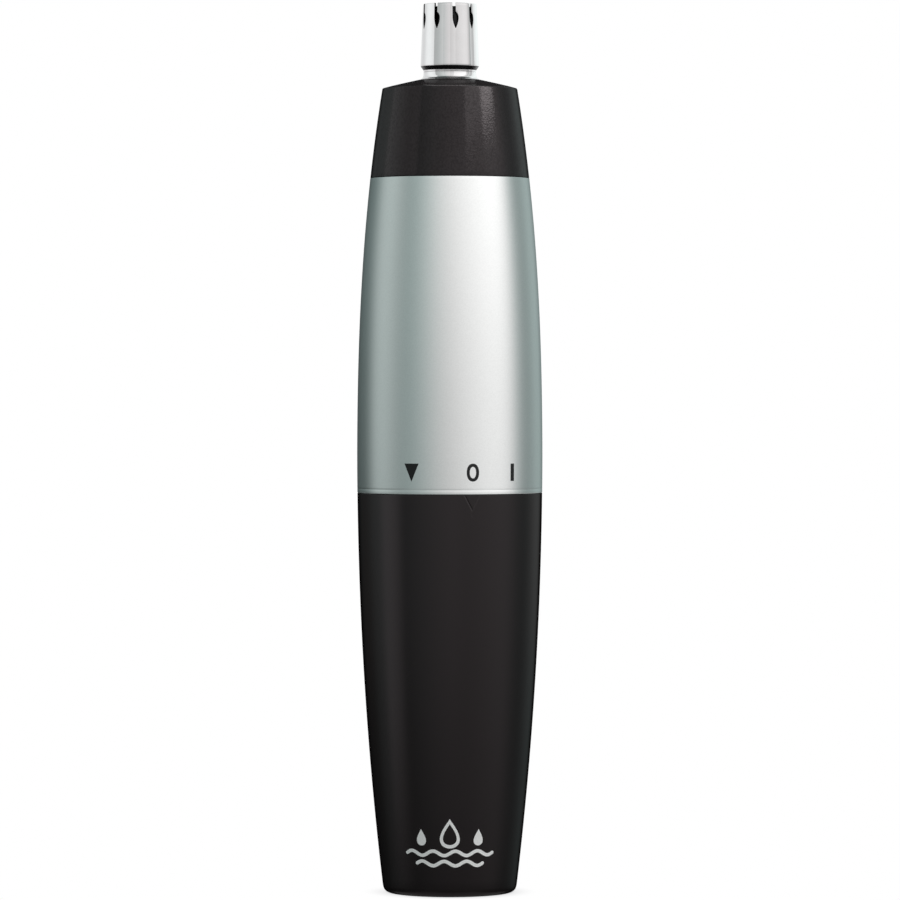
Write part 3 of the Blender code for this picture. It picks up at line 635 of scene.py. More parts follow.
# Start, end, half width, width of the sloping edge, depth.
POINTER_GROOVES = [
    ((-POINTER_HALF_W, -0.1), POINTER_TIP, 0.17, 0.15, 0.085),
    ((POINTER_HALF_W, -0.1), POINTER_TIP, 0.14, 0.13, 0.035),
    (POINTER_TIP, (0.0, POINTER_H + GROOVE_H), 0.12, 0.1, 0.03),
]


def ease(x, edge):
    """0 below 0, 1 above edge, smooth between."""
    share = max(0.0, min(1.0, x / edge))
    return share * share * (3 - 2 * share)


def from_line(across, down, start, end):
    """Distance of a point from a line segment."""
    x, y = across - start[0], down - start[1]
    run_x, run_y = end[0] - start[0], end[1] - start[1]
    along = max(0.0, min(1.0, (x * run_x + y * run_y) / (run_x ** 2 + run_y ** 2)))
    return math.hypot(x - along * run_x, y - along * run_y)


def pointer(angle, radius, z):
    """The pointer: its outline is engraved, with a short groove below its point."""
    down = RIM_Z - z
    if radius < 13.7 or down > POINTER_H + GROOVE_H + 0.4:
        return radius
    across = ((angle - POINTER_ANGLE + math.pi) % (2 * math.pi) - math.pi) * radius
    if abs(across) > POINTER_HALF_W + 0.5:
        return radius
    half = POINTER_HALF_W * (1.0 - down / POINTER_H)
    depths = [ease(half - abs(across), 0.1) * POCKET_DEPTH]
    for start, end, half_width, edge, depth in POINTER_GROOVES:
        depths.append(ease(half_width - from_line(across, down, start, end), edge) * depth)
    return radius - max(depths)


def fine_angles(coarse, middle, half_width, fine):
    """Angles all round, closer together about one place."""
    angles = [a for a in circle(coarse)
              if abs((a - middle + math.pi) % (2 * math.pi) - math.pi) > half_width]
    count = int(2 * half_width / fine)
    angles += [(middle - half_width + 2 * half_width * i / count) % (2 * math.pi)
               for i in range(count + 1)]
    return sorted(angles)


def lower_barrel():
    mesh_r = 14.05  # radius at which the closer spacing is measured
    angles = fine_angles(180, POINTER_ANGLE % (2 * math.pi), 1.4 / mesh_r, 0.045 / mesh_r)
    base_round = [(9.15 + 1.01 * math.sin(turn), 1.1 * (1 - math.cos(turn)))
                  for turn in [math.pi / 2 * i / 8 for i in range(8)]]
    edge = 0.1
    rim_round = [(outer(RIM_Z) - edge + edge * math.cos(turn), RIM_Z - edge + edge * math.sin(turn))
                 for turn in [math.pi / 2 * i / 4 for i in range(5)]]
    profile = (
        [(0, 0.0), (4.0, 0.0)] + base_round
        + [(outer(z), z) for z in spaced(1.2, 56.8, 1.2)]
        + [(outer(z), z) for z in spaced(57.0, RIM_Z - 0.15, 0.07)]
        + rim_round
        + rounded([(12.9, RIM_Z), (12.5, RIM_Z, 0.2), (12.5, 52.3, 0.15), (11.9, 51.7, 0.15),
                   (11.9, 47.0), (11.9, 43.0)], 4)
        + [(outer(z) - BARREL_WALL, z) for z in range(42, 5, -4)]
        + rounded([(9.1, 4.0), (8.75, 2.6, 0.5), (8.2, 1.8, 0.5), (5.0, 1.8)], 4)
        + [(0, 1.8)]
    )
    barrel = turned("lower_barrel", "lower_barrel", "soft_touch_black", profile, angles=angles,
                    shape=pointer, ending="_shell")
    boolean(barrel, blocks([(12.0, 13.35, -1.65, 1.65, 54.0, 62.0, 180 * i) for i in range(2)]))
    # Two sets of four ribs: inner radius, outer radius, foot and top.
    for inner_r, outer_r, foot, top in ((7.6, 9.9, 1.4, 9.0), (7.6, 12.6, 30.0, 34.0)):
        ribs = [(inner_r, outer_r, -0.6, 0.6, foot, top, 45 + 90 * i) for i in range(4)]
        boolean(barrel, blocks(ribs), "UNION")


lower_barrel()

# ------------------------------------------------------------------ printed marks
# Outlines are closed loops of (across, z) about the middle of a mark.

INK_LIFT, INK_DEPTH = 0.012, 0.05  # above and below the outside
INK_CELL = 0.22


def printed(name, body, look, outlines, from_front, mark_z):
    """Flat ink wrapped on the outside. Loops inside others are holes."""
    work = bmesh.new()
    edges = []
    for outline in outlines:
        ring = [work.verts.new((across, 0, z)) for across, z in outline]
        edges += [work.edges.new((ring[i - 1], ring[i])) for i in range(len(ring))]
    bmesh.ops.triangle_fill(work, edges=edges, use_beauty=True, normal=(0, -1, 0))
    across_all = [vert.co.x for vert in work.verts]
    z_all = [vert.co.z for vert in work.verts]
    for axis, places in (((1, 0, 0), across_all), ((0, 0, 1), z_all)):
        low, high = min(places), max(places)
        count = int((high - low) / INK_CELL)
        for i in range(1, count + 1):
            at = low + (high - low) * i / (count + 1)
            geom = list(work.verts) + list(work.edges) + list(work.faces)
            bmesh.ops.bisect_plane(work, geom=geom, dist=1e-5, plane_co=Vector(axis) * at,
                                   plane_no=axis)
    faces = list(work.faces)
    for face in faces:
        if face.normal.y > 0:
            face.normal_flip()
    moved = bmesh.ops.extrude_face_region(work, geom=faces)
    raised = {item for item in moved["geom"] if isinstance(item, bmesh.types.BMVert)}
    middle = math.radians(around(from_front))
    reach = outer(mark_z)
    for vert in work.verts:
        z = mark_z + vert.co.z
        radius = outer(z) + (INK_LIFT if vert in raised else -INK_DEPTH)
        vert.co = polar(radius, middle + vert.co.x / reach, z)
    finish(name, body, look, work, sharp=40)


def ellipse(width, height, power):
    """An ellipse, squarer as power rises above 2."""

    def reach(size, share):
        return size / 2 * math.copysign(abs(share) ** (2 / power), share)

    return [(reach(width, math.cos(a)), reach(height, math.sin(a))) for a in circle(48)]


def drop(width, height, across=0.0, lift=0.0):
    """A water drop, point up."""
    return [(width / 2 * math.sin(a) * math.sin(a / 2) ** 1.35 * 1.17 + across,
             height / 2 * math.cos(a) + lift) for a in circle(40)]


RIPPLE_RISE, RIPPLE_PERIOD, RIPPLE_STROKE = 0.34, 3.4, 0.52


def ripple(half_length, steps):
    """A wavy stroke with round ends."""
    radius = RIPPLE_STROKE / 2

    def wave(x):
        return RIPPLE_RISE * math.sin(2 * math.pi * (x + half_length) / RIPPLE_PERIOD)

    def slope(x):
        pitch = 2 * math.pi / RIPPLE_PERIOD
        return RIPPLE_RISE * pitch * math.cos(2 * math.pi * (x + half_length) / RIPPLE_PERIOD)

    def edge_point(x, side):
        length = math.hypot(1, slope(x))
        return x - side * slope(x) / length * radius, wave(x) + side * radius / length

    stations = [-half_length + 2 * half_length * i / steps for i in range(steps + 1)]
    outline = []
    for side in (1, -1):
        end = side * half_length
        start = side * math.pi / 2 + math.atan(slope(end))
        outline += [edge_point(x, side) for x in stations[::side]]
        outline += [(end + radius * math.cos(start - math.pi * k / 6),
                     wave(end) + radius * math.sin(start - math.pi * k / 6)) for k in range(1, 6)]
    return outline


for mark, mark_outlines, mark_at in (
    ("mark_open", [[(-1.16, 1.34), (0.0, -1.36), (1.16, 1.34)]], MARK_OPEN),
    ("mark_off", [ellipse(1.9, 2.68, power=2.25), ellipse(0.98, 1.72, power=2.15)], MARK_OFF),
    ("mark_on", [[(-0.34, -1.31), (0.34, -1.31), (0.34, 1.31), (-0.34, 1.31)]], MARK_ON),
):
    printed(mark, "upper_body", "mark_ink", mark_outlines, mark_at, MARK_Z)

for mark, mark_outlines, print_z in (
    ("print_drop", [drop(3.6, 4.5), drop(2.5, 3.2, lift=-0.14)], 9.75),
    ("print_small_drop_left", [drop(1.75, 2.5, across=-4.4)], 9.15),
    ("print_small_drop_right", [drop(1.75, 2.5, across=4.4)], 9.15),
    ("print_ripple_upper", [ripple(6.8, 96)], 6.75),
    ("print_ripple_lower", [ripple(5.1, 80)], 5.2),
):
    printed(mark, "lower_barrel", "pale_ink", mark_outlines, 0.0, print_z)

# ------------------------------------------------------------------ silver sleeve


def barrel_sleeve():
    hairline = 0.010  # depth of a fine line just above the seam
    top_r = outer(SLEEVE_HIGH)
    profile = rounded(
        [(outer(SLEEVE_FOOT), SLEEVE_FOOT, 0.06), (outer(61.0), 61.0), (outer(61.30), 61.30),
         (outer(61.36) - hairline, 61.35), (outer(61.41) - hairline, 61.41),
         (outer(61.46), 61.46), (outer(61.7), 61.7)]
        + [(outer(z), z) for z in spaced(SLEEVE_LOW + 1.1, SLEEVE_HIGH - 0.6, 0.9)]
        + [(top_r, SLEEVE_TOP, 0.05), (top_r - UPPER_WALL, SLEEVE_TOP, 0.1)]
        + [(outer(z) - UPPER_WALL, z) for z in range(104, 60, -4)]
        + [(outer(SLEEVE_LOW) - UPPER_WALL, SLEEVE_FOOT, 0.1)], 6)
    turned("barrel_sleeve", "upper_body", "satin_silver", profile, segments=216, ending="_shell")


barrel_sleeve()

# ------------------------------------------------------------------ head


def head_collar():
    profile = rounded(
        [(outer(COLLAR_FOOT), COLLAR_FOOT, 0.07)]
        + [(outer(z), z) for z in spaced(COLLAR_LOW + 0.6, 121.4, 0.6)]
        + [(outer(122.05), 122.07, 0.25), (9.5, 122.27), (9.1, 122.38), (8.4, 122.55),
           (7.6, 122.74), (6.9, 122.9), (6.1, 123.08), (5.4, 123.24), (4.7, NECK_Z - 0.06),
           (4.4, NECK_Z), (3.85, NECK_Z, 0.1), (3.85, 122.0, 0.1), (8.4, 121.4, 1.2),
           (outer(119.5) - UPPER_WALL, 119.5)]
        + [(outer(z) - UPPER_WALL, z) for z in range(118, 108, -2)]
        + [(outer(COLLAR_LOW) - UPPER_WALL, COLLAR_FOOT, 0.1)], 6)
    turned("head_collar", "head", "satin_black", profile, segments=192, ending="_shell")


head_collar()

turned("neck_ring", "head", "polished_chrome", [
    (3.8, 123.42), (4.44, 123.42), (4.45, 123.47), (4.40, 123.53), (4.30, 123.6),
    (4.20, 123.69), (4.12, 123.8), (4.06, 123.94), (4.02, 124.12), (4.0, 124.32),
    (4.0, 124.53), (3.8, 124.53)], segments=160)

# A slit open at the rim whose left edge runs straight down into a leaf, its point down: (across, z).
SLIT_LEFT = -0.48
SLIT_TOP = 136.2
SLIT_OUTLINE = [
    (SLIT_LEFT, SLIT_TOP), (0.04, SLIT_TOP), (0.04, 133.62), (0.07, 133.52), (0.15, 133.42),
    (0.27, 133.28), (0.38, 133.1), (0.44, 132.88), (0.47, 132.6), (0.45, 132.3), (0.39, 132.0),
    (0.31, 131.7), (0.2, 131.4), (0.08, 131.12), (0.0, 131.0), (-0.09, 131.12), (-0.2, 131.38),
    (-0.32, 131.72), (-0.41, 132.06), (-0.46, 132.4), (SLIT_LEFT, 132.7),
]


def cutter_sleeve():
    """The slotted chrome tube, with near-black metal on its slot walls and under its lip as painted
    shade.
    """
    lip_z = 125.6
    profile = rounded(
        [(3.05, 113.0, 0.1), (3.72, 113.0, 0.1), (3.72, 120.85), (3.42, 120.85), (3.42, 121.65),
         (3.72, 121.65), (3.72, 124.56), (4.0, 124.56), (4.0, 124.75), (4.01, 124.84),
         (4.06, 124.93), (4.38, 125.37), (4.42, 125.44), (4.44, 125.54), (LIP_R - 0.005, 125.7)]
        + [(LIP_R + (TIP_R - LIP_R) * (z - lip_z) / (TIP_Z - lip_z), z)
           for z in spaced(126.2, TIP_Z - 0.4, 0.7)]
        + [(TIP_R, TIP_Z, 0.16), (BORE_R, TIP_Z, 0.12)]
        + [(BORE_R, z) for z in range(134, 124, -2)]
        + [(BORE_R, 125.2), (3.05, 124.6)], 4)
    tube = turned("cutter_sleeve", "head", "polished_chrome", profile, segments=240)
    slits = bmesh.new()
    for k in range(SLOTS):
        turn = around(SLOT_PHASE + 360.0 / SLOTS * k)
        add_radial_prism(slits, SLIT_OUTLINE, 3.2, 5.6, turn)
    boolean(tube, slits, bevel=0.03)
    # Painted shade: the slot walls and the underside of the lip take the near-black metal.
    tube.data.materials.append(LOOKS["slot_edge"])
    for face in tube.data.polygons:
        x, y, z = (c / MM for c in face.center)
        reach = math.hypot(x, y)
        outward = (face.normal.x * x + face.normal.y * y) / reach
        sideways = (face.normal.y * x - face.normal.x * y) / reach
        under_lip = 124.86 < z < 125.47 and face.normal.z < -0.3
        in_slit = (z > 130.9 and abs(outward) < 0.5 and BORE_R - 0.02 < reach < TIP_R + 0.1
                   and (sideways > 0.1 or face.normal.z > 0.3))
        if under_lip or in_slit:
            face.material_index = 1


cutter_sleeve()

turned("head_core", "head", "grey_plastic", rounded([
    (2.1, 102.7, 0.1), (2.9, 102.7, 0.15), (2.9, 104.6, 0.3), (6.9, 104.6, 0.3),
    (6.9, 97.6, 0.15), (8.4, 97.6, 0.35), (8.4, 102.9, 0.08), (7.6, 102.9, 0.1),
    (7.6, 104.5, 0.1), (8.4, 104.5, 0.08), (8.4, 108.15, 0.1), (10.4, 108.15, 0.12),
    (10.4, 110.2, 0.15), (6.9, 110.2, 0.15), (6.9, 106.2, 0.3), (2.9, 106.2, 0.3),
    (2.9, 117.0, 0.15), (2.1, 117.0, 0.1)], 4))
o_ring("head_o_ring", "head", radius=8.17, wire=0.5, z=103.7)
open_ring("sleeve_circlip", "head", 3.52, 5.1, 120.95, 121.45, middle=around(90), span=300)
for bush, foot_z, top_z in (("spindle_bush_lower", 102.9, 106.0),
                            ("spindle_bush_upper", 113.6, 116.8)):
    turned(bush, "head", "brass", rounded([
        (1.27, foot_z, 0.1), (2.04, foot_z, 0.1), (2.04, top_z, 0.1), (1.27, top_z, 0.1)], 3),
        segments=64)

# ------------------------------------------------------------------ spindle and inner cutter


def hexagon(angle, corner_r):
    """Radius of a hexagon at an angle."""
    turn = (angle + math.pi / 6) % (math.pi / 3) - math.pi / 6
    return corner_r * math.cos(math.pi / 6) / math.cos(abs(turn) - math.pi / 6)


def spindle_shape(angle, radius, z):
    """The upper length is a hexagon that grows out of the round."""
    if not 125.2 < z < 130.12 or radius < 1.0:
        return radius
    share = min(1.0, (z - 125.2) / 0.3)
    return radius + (hexagon(angle, 1.2) - radius) * share


turned("spindle", "spindle", "steel", rounded([
    (0, 99.6), (1.2, 99.6, 0.2), (1.2, 117.15), (0.98, 117.15), (0.98, 117.65), (1.2, 117.65),
    (1.2, 125.0), (1.2, 125.3), (1.2, 125.6), (1.2, 130.1), (0.8, 130.15), (0.8, 130.6),
    (1.05, 130.65, 0.05), (1.05, 131.1, 0.25), (0, 131.2)], 4), segments=72, shape=spindle_shape)

spindle_cup = turned("spindle_cup", "spindle", "acetal", rounded([
    (1.27, 102.4), (1.27, 100.6, 0.1), (3.9, 100.6, 0.3), (3.9, 96.2, 0.12), (4.9, 96.2, 0.15),
    (4.9, 102.4, 0.6)], 4), segments=96)
boolean(spindle_cup, blocks([(2.5, 4.3, -0.6, 0.6, 96.5, 100.9, 90 + 180 * i)
                             for i in range(2)]), "UNION")

open_ring("spindle_circlip", "spindle", 1.02, 2.3, 117.22, 117.58, middle=around(90), span=300,
          segments=48)
open_ring("cutter_clip", "spindle", 0.86, 1.95, 130.2, 130.5, middle=around(90), span=300,
          segments=48)
turned("spring_washer", "spindle", "plated_contact", rounded([
    (1.3, 117.72, 0.05), (2.6, 117.72, 0.05), (2.6, 117.98, 0.05), (1.3, 117.98, 0.05)], 2),
    segments=72)

SPRING_FOOT, SPRING_WIRE = 118.03, 0.22
cutter_spring = coil("cutter_spring", "spindle", start_r=1.95, end_r=1.95,
                     start_z=SPRING_FOOT + SPRING_WIRE, end_z=126.3, turns=5.5, wire=SPRING_WIRE)
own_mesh(cutter_spring)


def cutter_shape(angle, radius, z):
    """The hole at the foot of the cutter is a hexagon."""
    if radius < 1.5 and z < 130.3:
        return hexagon(angle, 1.3)
    return radius


# The gap between the blades, as (across, z).
BLADE_GAP = [(-1.35, 136.0), (-1.35, 131.35), (-1.15, 130.95), (-0.75, 130.75),
             (0.75, 130.75), (1.15, 130.95), (1.35, 131.35), (1.35, 136.0)]


def inner_cutter():
    """A cup with two opposite gaps, which leave two blades."""
    # Its near-black steel is painted shade.
    blade = turned("inner_cutter", "inner_cutter", "blade_steel", rounded([
        (1.3, 126.6), (3.48, 126.6, 0.15), (3.48, 129.0), (3.48, 131.0), (3.48, 134.4, 0.05),
        (3.05, 134.4, 0.05), (3.05, 127.9, 0.3), (2.1, 127.9, 0.2), (2.1, 130.05, 0.15),
        (1.3, 130.05)], 4), segments=120, shape=cutter_shape)
    gaps = bmesh.new()
    for k in range(2):
        add_radial_prism(gaps, BLADE_GAP, 1.5, 5.0, 180 * k)
    boolean(blade, gaps, bevel=0.03)


inner_cutter()

# ------------------------------------------------------------------ upper body, inside


def motor_chassis():
    chassis = turned("motor_chassis", "upper_body", "white_plastic", rounded([
        (9.6, 46.0, 0.15), (11.4, 46.0, 0.45), (11.4, 47.4, 0.08), (10.55, 47.4, 0.12),
        (10.55, 49.0, 0.12), (11.4, 49.0, 0.08), (11.4, 53.4, 0.06), (10.85, 53.4, 0.05),
        (10.85, 54.3, 0.05), (11.4, 54.3, 0.06), (11.4, 60.35, 0.1), (12.2, 60.35, 0.1),
        (12.2, 61.2, 0.05), (12.6, 61.2, 0.08), (12.6, 63.0, 0.12), (11.9, 63.0, 0.1),
        (11.9, 88.9, 0.1), (10.7, 88.9, 0.1), (10.7, 59.0, 0.3), (1.3, 59.0), (1.3, 57.8),
        (7.6, 57.8, 0.25), (7.6, 53.5, 0.1), (8.7, 53.5, 0.1), (8.7, 57.8, 0.1),
        (9.6, 57.8, 0.1)], 4), segments=144)
    boolean(chassis, posts([(0, side * SOCKET_SCREW_Y, 1.5, 70.0, 88.9) for side in (1, -1)]),
            "UNION")
    boolean(chassis, posts([(0, side * SOCKET_SCREW_Y, 0.9, 82.0, 90.0) for side in (1, -1)]))
    windows = [(8.0, 14.0, -4.5, 4.5, 73.0, 86.0, 180 * i) for i in range(2)]
    small_slot = (8.85, 9.45, -1.7, 1.7, 57.0, 59.6, 90)
    boolean(chassis, blocks(windows + [small_slot]))


motor_chassis()
o_ring("barrel_o_ring", "upper_body", radius=11.2, wire=0.58, z=48.2)
open_ring("ring_retainer", "upper_body", 11.02, 12.1, 53.55, 54.15, middle=around(0), span=310,
          segments=96, edge=0.08)

head_socket = turned("head_socket", "upper_body", "grey_plastic", rounded([
    (3.15, 89.1), (11.8, 89.1, 0.1), (11.8, 91.1, 0.1), (7.95, 91.1, 0.3), (7.95, 94.5, 0.4),
    (10.5, 96.4, 0.4), (10.5, 108.0, 0.2), (8.8, 108.0, 0.35), (8.8, 97.0, 0.4),
    (6.8, 95.6, 0.4), (6.8, 91.1, 0.3), (3.8, 91.1, 0.2), (3.8, 93.4, 0.1),
    (3.15, 93.4, 0.1)], 4))
boolean(head_socket, posts([(0, side * SOCKET_SCREW_Y, 0.95, 88.0, 92.0) for side in (1, -1)]
                           + [(side * MOTOR_SCREW_X, 0, 0.95, 88.0, 92.0) for side in (1, -1)]))
turned("shaft_seal", "upper_body", "rubber", rounded([
    (1.08, 91.1, 0.08), (3.05, 91.1, 0.08), (3.05, 93.2, 0.12), (2.3, 93.2, 0.12),
    (1.7, 92.4, 0.2), (1.08, 92.4, 0.08)], 4), segments=96)


def screw(node, x, y, tip_z):
    """A cross-head screw, point down."""
    profile = rounded([
        (0, 92.1), (0.9, 92.1, 0.5), (1.25, 91.7, 0.3), (1.25, 91.2, 0.05), (0.75, 91.2),
        (0.75, tip_z + 0.4, 0.2), (0, tip_z)], 4)
    piece = turned(node, "upper_body", "plated_contact", profile, segments=48)
    piece.data.transform(Matrix.Translation((x * MM, y * MM, 0)))
    for turn in (20, 110):
        recess = blocks([(-0.8, 0.8, -0.15, 0.15, 91.55, 92.6, turn)])
        bmesh.ops.translate(recess, verts=recess.verts, vec=(x, y, 0))
        boolean(piece, recess)


screw("motor_screw_right", MOTOR_SCREW_X, 0, 87.4)
screw("motor_screw_left", -MOTOR_SCREW_X, 0, 87.4)
screw("socket_screw_front", 0, -SOCKET_SCREW_Y, 82.6)
screw("socket_screw_rear", 0, SOCKET_SCREW_Y, 82.6)

drive_dog = turned("drive_dog", "rotor", "acetal", rounded([
    (0, 97.7), (1.06, 97.7), (1.06, 94.2, 0.05), (2.2, 94.2, 0.15), (2.2, 98.9, 0.2),
    (0, 98.9)], 4), segments=72)
boolean(drive_dog, blocks([(1.9, 3.5, -0.8, 0.8, 96.6, 98.86, 180 * i) for i in range(2)]),
        "UNION")
turned("motor_shaft", "rotor", "steel", rounded([
    (0, 61.9), (1.0, 61.9, 0.15), (1.0, 80.0), (1.0, 97.5, 0.15), (0, 97.5)], 3), segments=48)
turned("positive_contact", "upper_body", "plated_contact", rounded([
    (0, 57.15), (1.6, 57.15, 0.8), (3.4, 57.4, 0.1), (3.4, 57.65, 0.08), (1.0, 57.65),
    (1.0, 59.9, 0.15), (0, 59.9)], 4), segments=72)


def detent_washer():
    """A flat ring bent into four waves."""
    section = rounded([(11.58, 59.83, 0.05), (12.15, 59.83, 0.05), (12.15, 60.03, 0.05),
                       (11.58, 60.03, 0.05)], 2)
    work = bmesh.new()
    rings = [[work.verts.new(polar(radius, angle, z + 0.2 * math.cos(4 * angle)))
              for radius, z in section] for angle in circle(144)]
    skin(work, rings[-1:] + rings)
    stand_in("detent_washer", "upper_body", "spring_steel", work, sharp=50)


detent_washer()

# ------------------------------------------------------------------ switch ring

switch_ring = turned("switch_ring", "switch_ring", "acetal", rounded([
    (11.52, 54.5, 0.1), (12.3, 54.5, 0.15), (12.3, 59.4, 0.15), (11.52, 59.4, 0.1)], 4),
    segments=144)
boolean(switch_ring, blocks([(11.9, 13.2, -1.5, 1.5, 54.8, 59.1, 180 * i) for i in range(2)]),
        "UNION")

# ------------------------------------------------------------------ cell and contacts in the barrel

turned("battery_cell", "lower_barrel", "cell_jacket", rounded([
    (0, 6.3), (6.5, 6.3, 0.2), (6.7, 6.42, 0.1), (7.2, 6.5, 0.3), (7.2, 20.0), (7.2, 40.0),
    (7.2, 55.7, 0.45), (6.3, 55.7, 0.1), (6.1, 55.45, 0.1), (3.2, 55.45, 0.1), (3.0, 55.6),
    (0, 55.6)], 5), segments=120)
turned("battery_positive_cap", "lower_barrel", "plated_contact", rounded([
    (0, 55.86), (2.65, 55.86, 0.05), (2.65, 56.95, 0.35), (0, 56.95)], 5), segments=72)
turned("negative_contact_plate", "lower_barrel", "plated_contact", rounded([
    (0, 2.0), (6.4, 2.0, 0.1), (6.4, 2.35, 0.1), (0, 2.35)], 3), segments=96)
coil("negative_spring", "lower_barrel", start_r=5.0, end_r=2.9, start_z=2.75, end_z=5.85,
     turns=3.5, wire=0.32)

# ------------------------------------------------------------------ floor


def floor_material():
    """Clear, but with a painted contact shadow: grey emission close to the trimmer where ambient
    occlusion finds it, seen only from above.
    """
    material = bpy.data.materials.new("pale_floor")
    material.use_nodes = True
    graph = Graph(material.node_tree)
    graph.tree.nodes.clear()
    clear = graph.node("ShaderNodeBsdfTransparent").outputs[0]
    # Painted contact shadow: this grey is emitted, not lit, and mixed in by ambient occlusion.
    grey = graph.node("ShaderNodeEmission", {"Color": (0.62, 0.62, 0.63)}).outputs[0]
    # Distances here are in metres.
    shade = graph.node("ShaderNodeAmbientOcclusion", {"Distance": 0.006}, samples=8)
    coord = graph.node("ShaderNodeTexCoord")
    length = graph.node("ShaderNodeVectorMath", {0: coord.outputs["Object"]}, operation="LENGTH")
    fade = {"From Min": 0.0095, "From Max": 0.0138, "To Min": 0.75, "To Max": 0.0,
            "Value": length.outputs["Value"]}
    near = graph.node("ShaderNodeMapRange", fade, interpolation_type="SMOOTHSTEP").outputs[0]
    side = graph.node("ShaderNodeNewGeometry")
    dark = graph.math("SUBTRACT", 1.0, shade.outputs["AO"])
    above = graph.math("SUBTRACT", 1.0, side.outputs["Backfacing"])
    share = graph.math("MULTIPLY", graph.math("MULTIPLY", dark, above), near)
    mix = graph.node("ShaderNodeMixShader", {0: share, 1: clear, 2: grey})
    graph.node("ShaderNodeOutputMaterial", {"Surface": mix.outputs[0]})
    return material


def backdrop():
    """A wide floor that takes the tone of the white surround."""
    work = bmesh.new()
    bmesh.ops.create_circle(work, cap_ends=True, segments=96, radius=4000.0,
                            matrix=Matrix.Translation((0, 0, -0.02)))
    floor = link_mesh("floor", work)
    floor.data.materials.append(floor_material())
    floor.visible_glossy = False
    floor.visible_diffuse = False
    floor.visible_shadow = False


backdrop()

# ------------------------------------------------------------------ surround

COLD, COOL, FAIR = (0.76, 1.0, 0.985), (0.81, 1.0, 0.98), (0.87, 1.0, 0.985)
NEAR_WHITE, WHITE = (0.96, 1.0, 0.995), (1.0, 1.0, 1.0)
# Light all round: degrees from the front, level, tint.
PLAN = [
    (-180, 0.03, COLD), (-160, 0.13, COLD), (-146, 0.22, COLD), (-134, 0.22, COLD),
    (-120, 0.37, COOL), (-108, 0.55, FAIR), (-96, 0.62, FAIR), (-84, 0.59, FAIR),
    (-72, 0.44, FAIR), (-60, 0.37, COOL), (-48, 0.41, COOL), (-32, 0.53, FAIR),
    (-16, 0.66, NEAR_WHITE), (0, 0.77, WHITE), (16, 0.89, WHITE), (32, 0.98, WHITE),
    (48, 1.07, WHITE), (62, 1.14, WHITE), (74, 1.12, WHITE), (84, 0.86, WHITE),
    (94, 0.50, FAIR), (106, 0.29, COOL), (120, 0.35, COOL), (134, 0.50, COOL),
    (148, 0.48, COOL), (162, 0.20, COLD), (180, 0.03, COLD),
]
# Degrees above the horizon, level: at the front right, at the sides and behind,
# and a shade over the light from behind left.
FRONT_RISE = [
    (-90, 0.01), (-24, 0.015), (-19, 0.06), (-16, 0.25), (-13, 0.5), (-8, 0.69), (-3, 0.82),
    (0, 0.885), (4, 1.09), (10, 1.3), (18, 1.4), (40, 1.4), (60, 1.1), (90, 0.8),
]
SIDE_RISE = [
    (-90, 0.01), (-24, 0.015), (-19, 0.03), (-16, 0.08), (-12, 0.2), (-7, 0.42), (-3, 0.93),
    (0, 1.0), (10, 1.05), (40, 1.0), (90, 0.8),
]
FLAG_RISE = [(-90, 0.1), (-7, 0.15), (-2, 0.4), (3, 0.75), (11, 1.0), (90, 1.0)]
# Degrees from the front, share: where FRONT_RISE and FLAG_RISE hold.
FRONT_SHARE = [(-180, 0.0), (-60, 0.1), (-20, 1.0), (80, 1.0), (110, 0.2), (180, 0.0)]
FLAG_SHARE = [(-180, 1.0), (-122, 1.0), (-106, 0.0), (180, 0.0)]
# Ramps hold levels divided by this, so that they stay below 1.
LEVEL_SCALE = 2.0


def surround():
    """One gradient: a tall softbox front right, a narrower one left, a strip behind right."""
    world = bpy.data.worlds.new("studio")
    bpy.context.scene.world = world
    world.use_nodes = True
    graph = Graph(world.node_tree)
    graph.tree.nodes.clear()
    coord = graph.node("ShaderNodeTexCoord")
    split = graph.node("ShaderNodeSeparateXYZ", {0: coord.outputs["Generated"]})
    x, y, z = split.outputs
    azimuth = graph.math("ARCTAN2", x, graph.math("MULTIPLY", y, -1.0))
    turn = graph.math("ADD", graph.math("DIVIDE", azimuth, 2 * math.pi), 0.5)
    elevation = graph.math("ARCSINE", z)
    rise = graph.math("ADD", graph.math("DIVIDE", elevation, math.pi), 0.5)

    def by_turn(table):
        return graph.ramp(turn, [((degrees + 180) / 360, level) for degrees, level in table])

    def by_rise(table, scale):
        stops = [((degrees + 90) / 180, level / scale) for degrees, level in table]
        return graph.ramp(rise, stops)

    colour = by_turn([(degrees, tuple(level * c / LEVEL_SCALE for c in tint))
                      for degrees, level, tint in PLAN])
    front, sides = by_rise(FRONT_RISE, LEVEL_SCALE), by_rise(SIDE_RISE, LEVEL_SCALE)
    rising = graph.mix(by_turn(FRONT_SHARE), sides, front)
    flagged = graph.mix(by_turn(FLAG_SHARE), rising, by_rise(FLAG_RISE, 1), blend="MULTIPLY")
    product = graph.mix(1.0, colour, flagged, blend="MULTIPLY")
    lit = graph.node("ShaderNodeBackground", {"Strength": LEVEL_SCALE ** 2, "Color": product})
    white = graph.node("ShaderNodeBackground", {"Color": WHITE, "Strength": 1.0})
    path = graph.node("ShaderNodeLightPath")
    # The camera sees plain white.
    choose = graph.node("ShaderNodeMixShader", {0: path.outputs["Is Camera Ray"],
                                                1: lit.outputs[0], 2: white.outputs[0]})
    graph.node("ShaderNodeOutputWorld", {"Surface": choose.outputs[0]})
    world.cycles.sampling_method = "MANUAL"
    world.cycles.sample_map_resolution = 512


surround()

# ------------------------------------------------------------------ lights


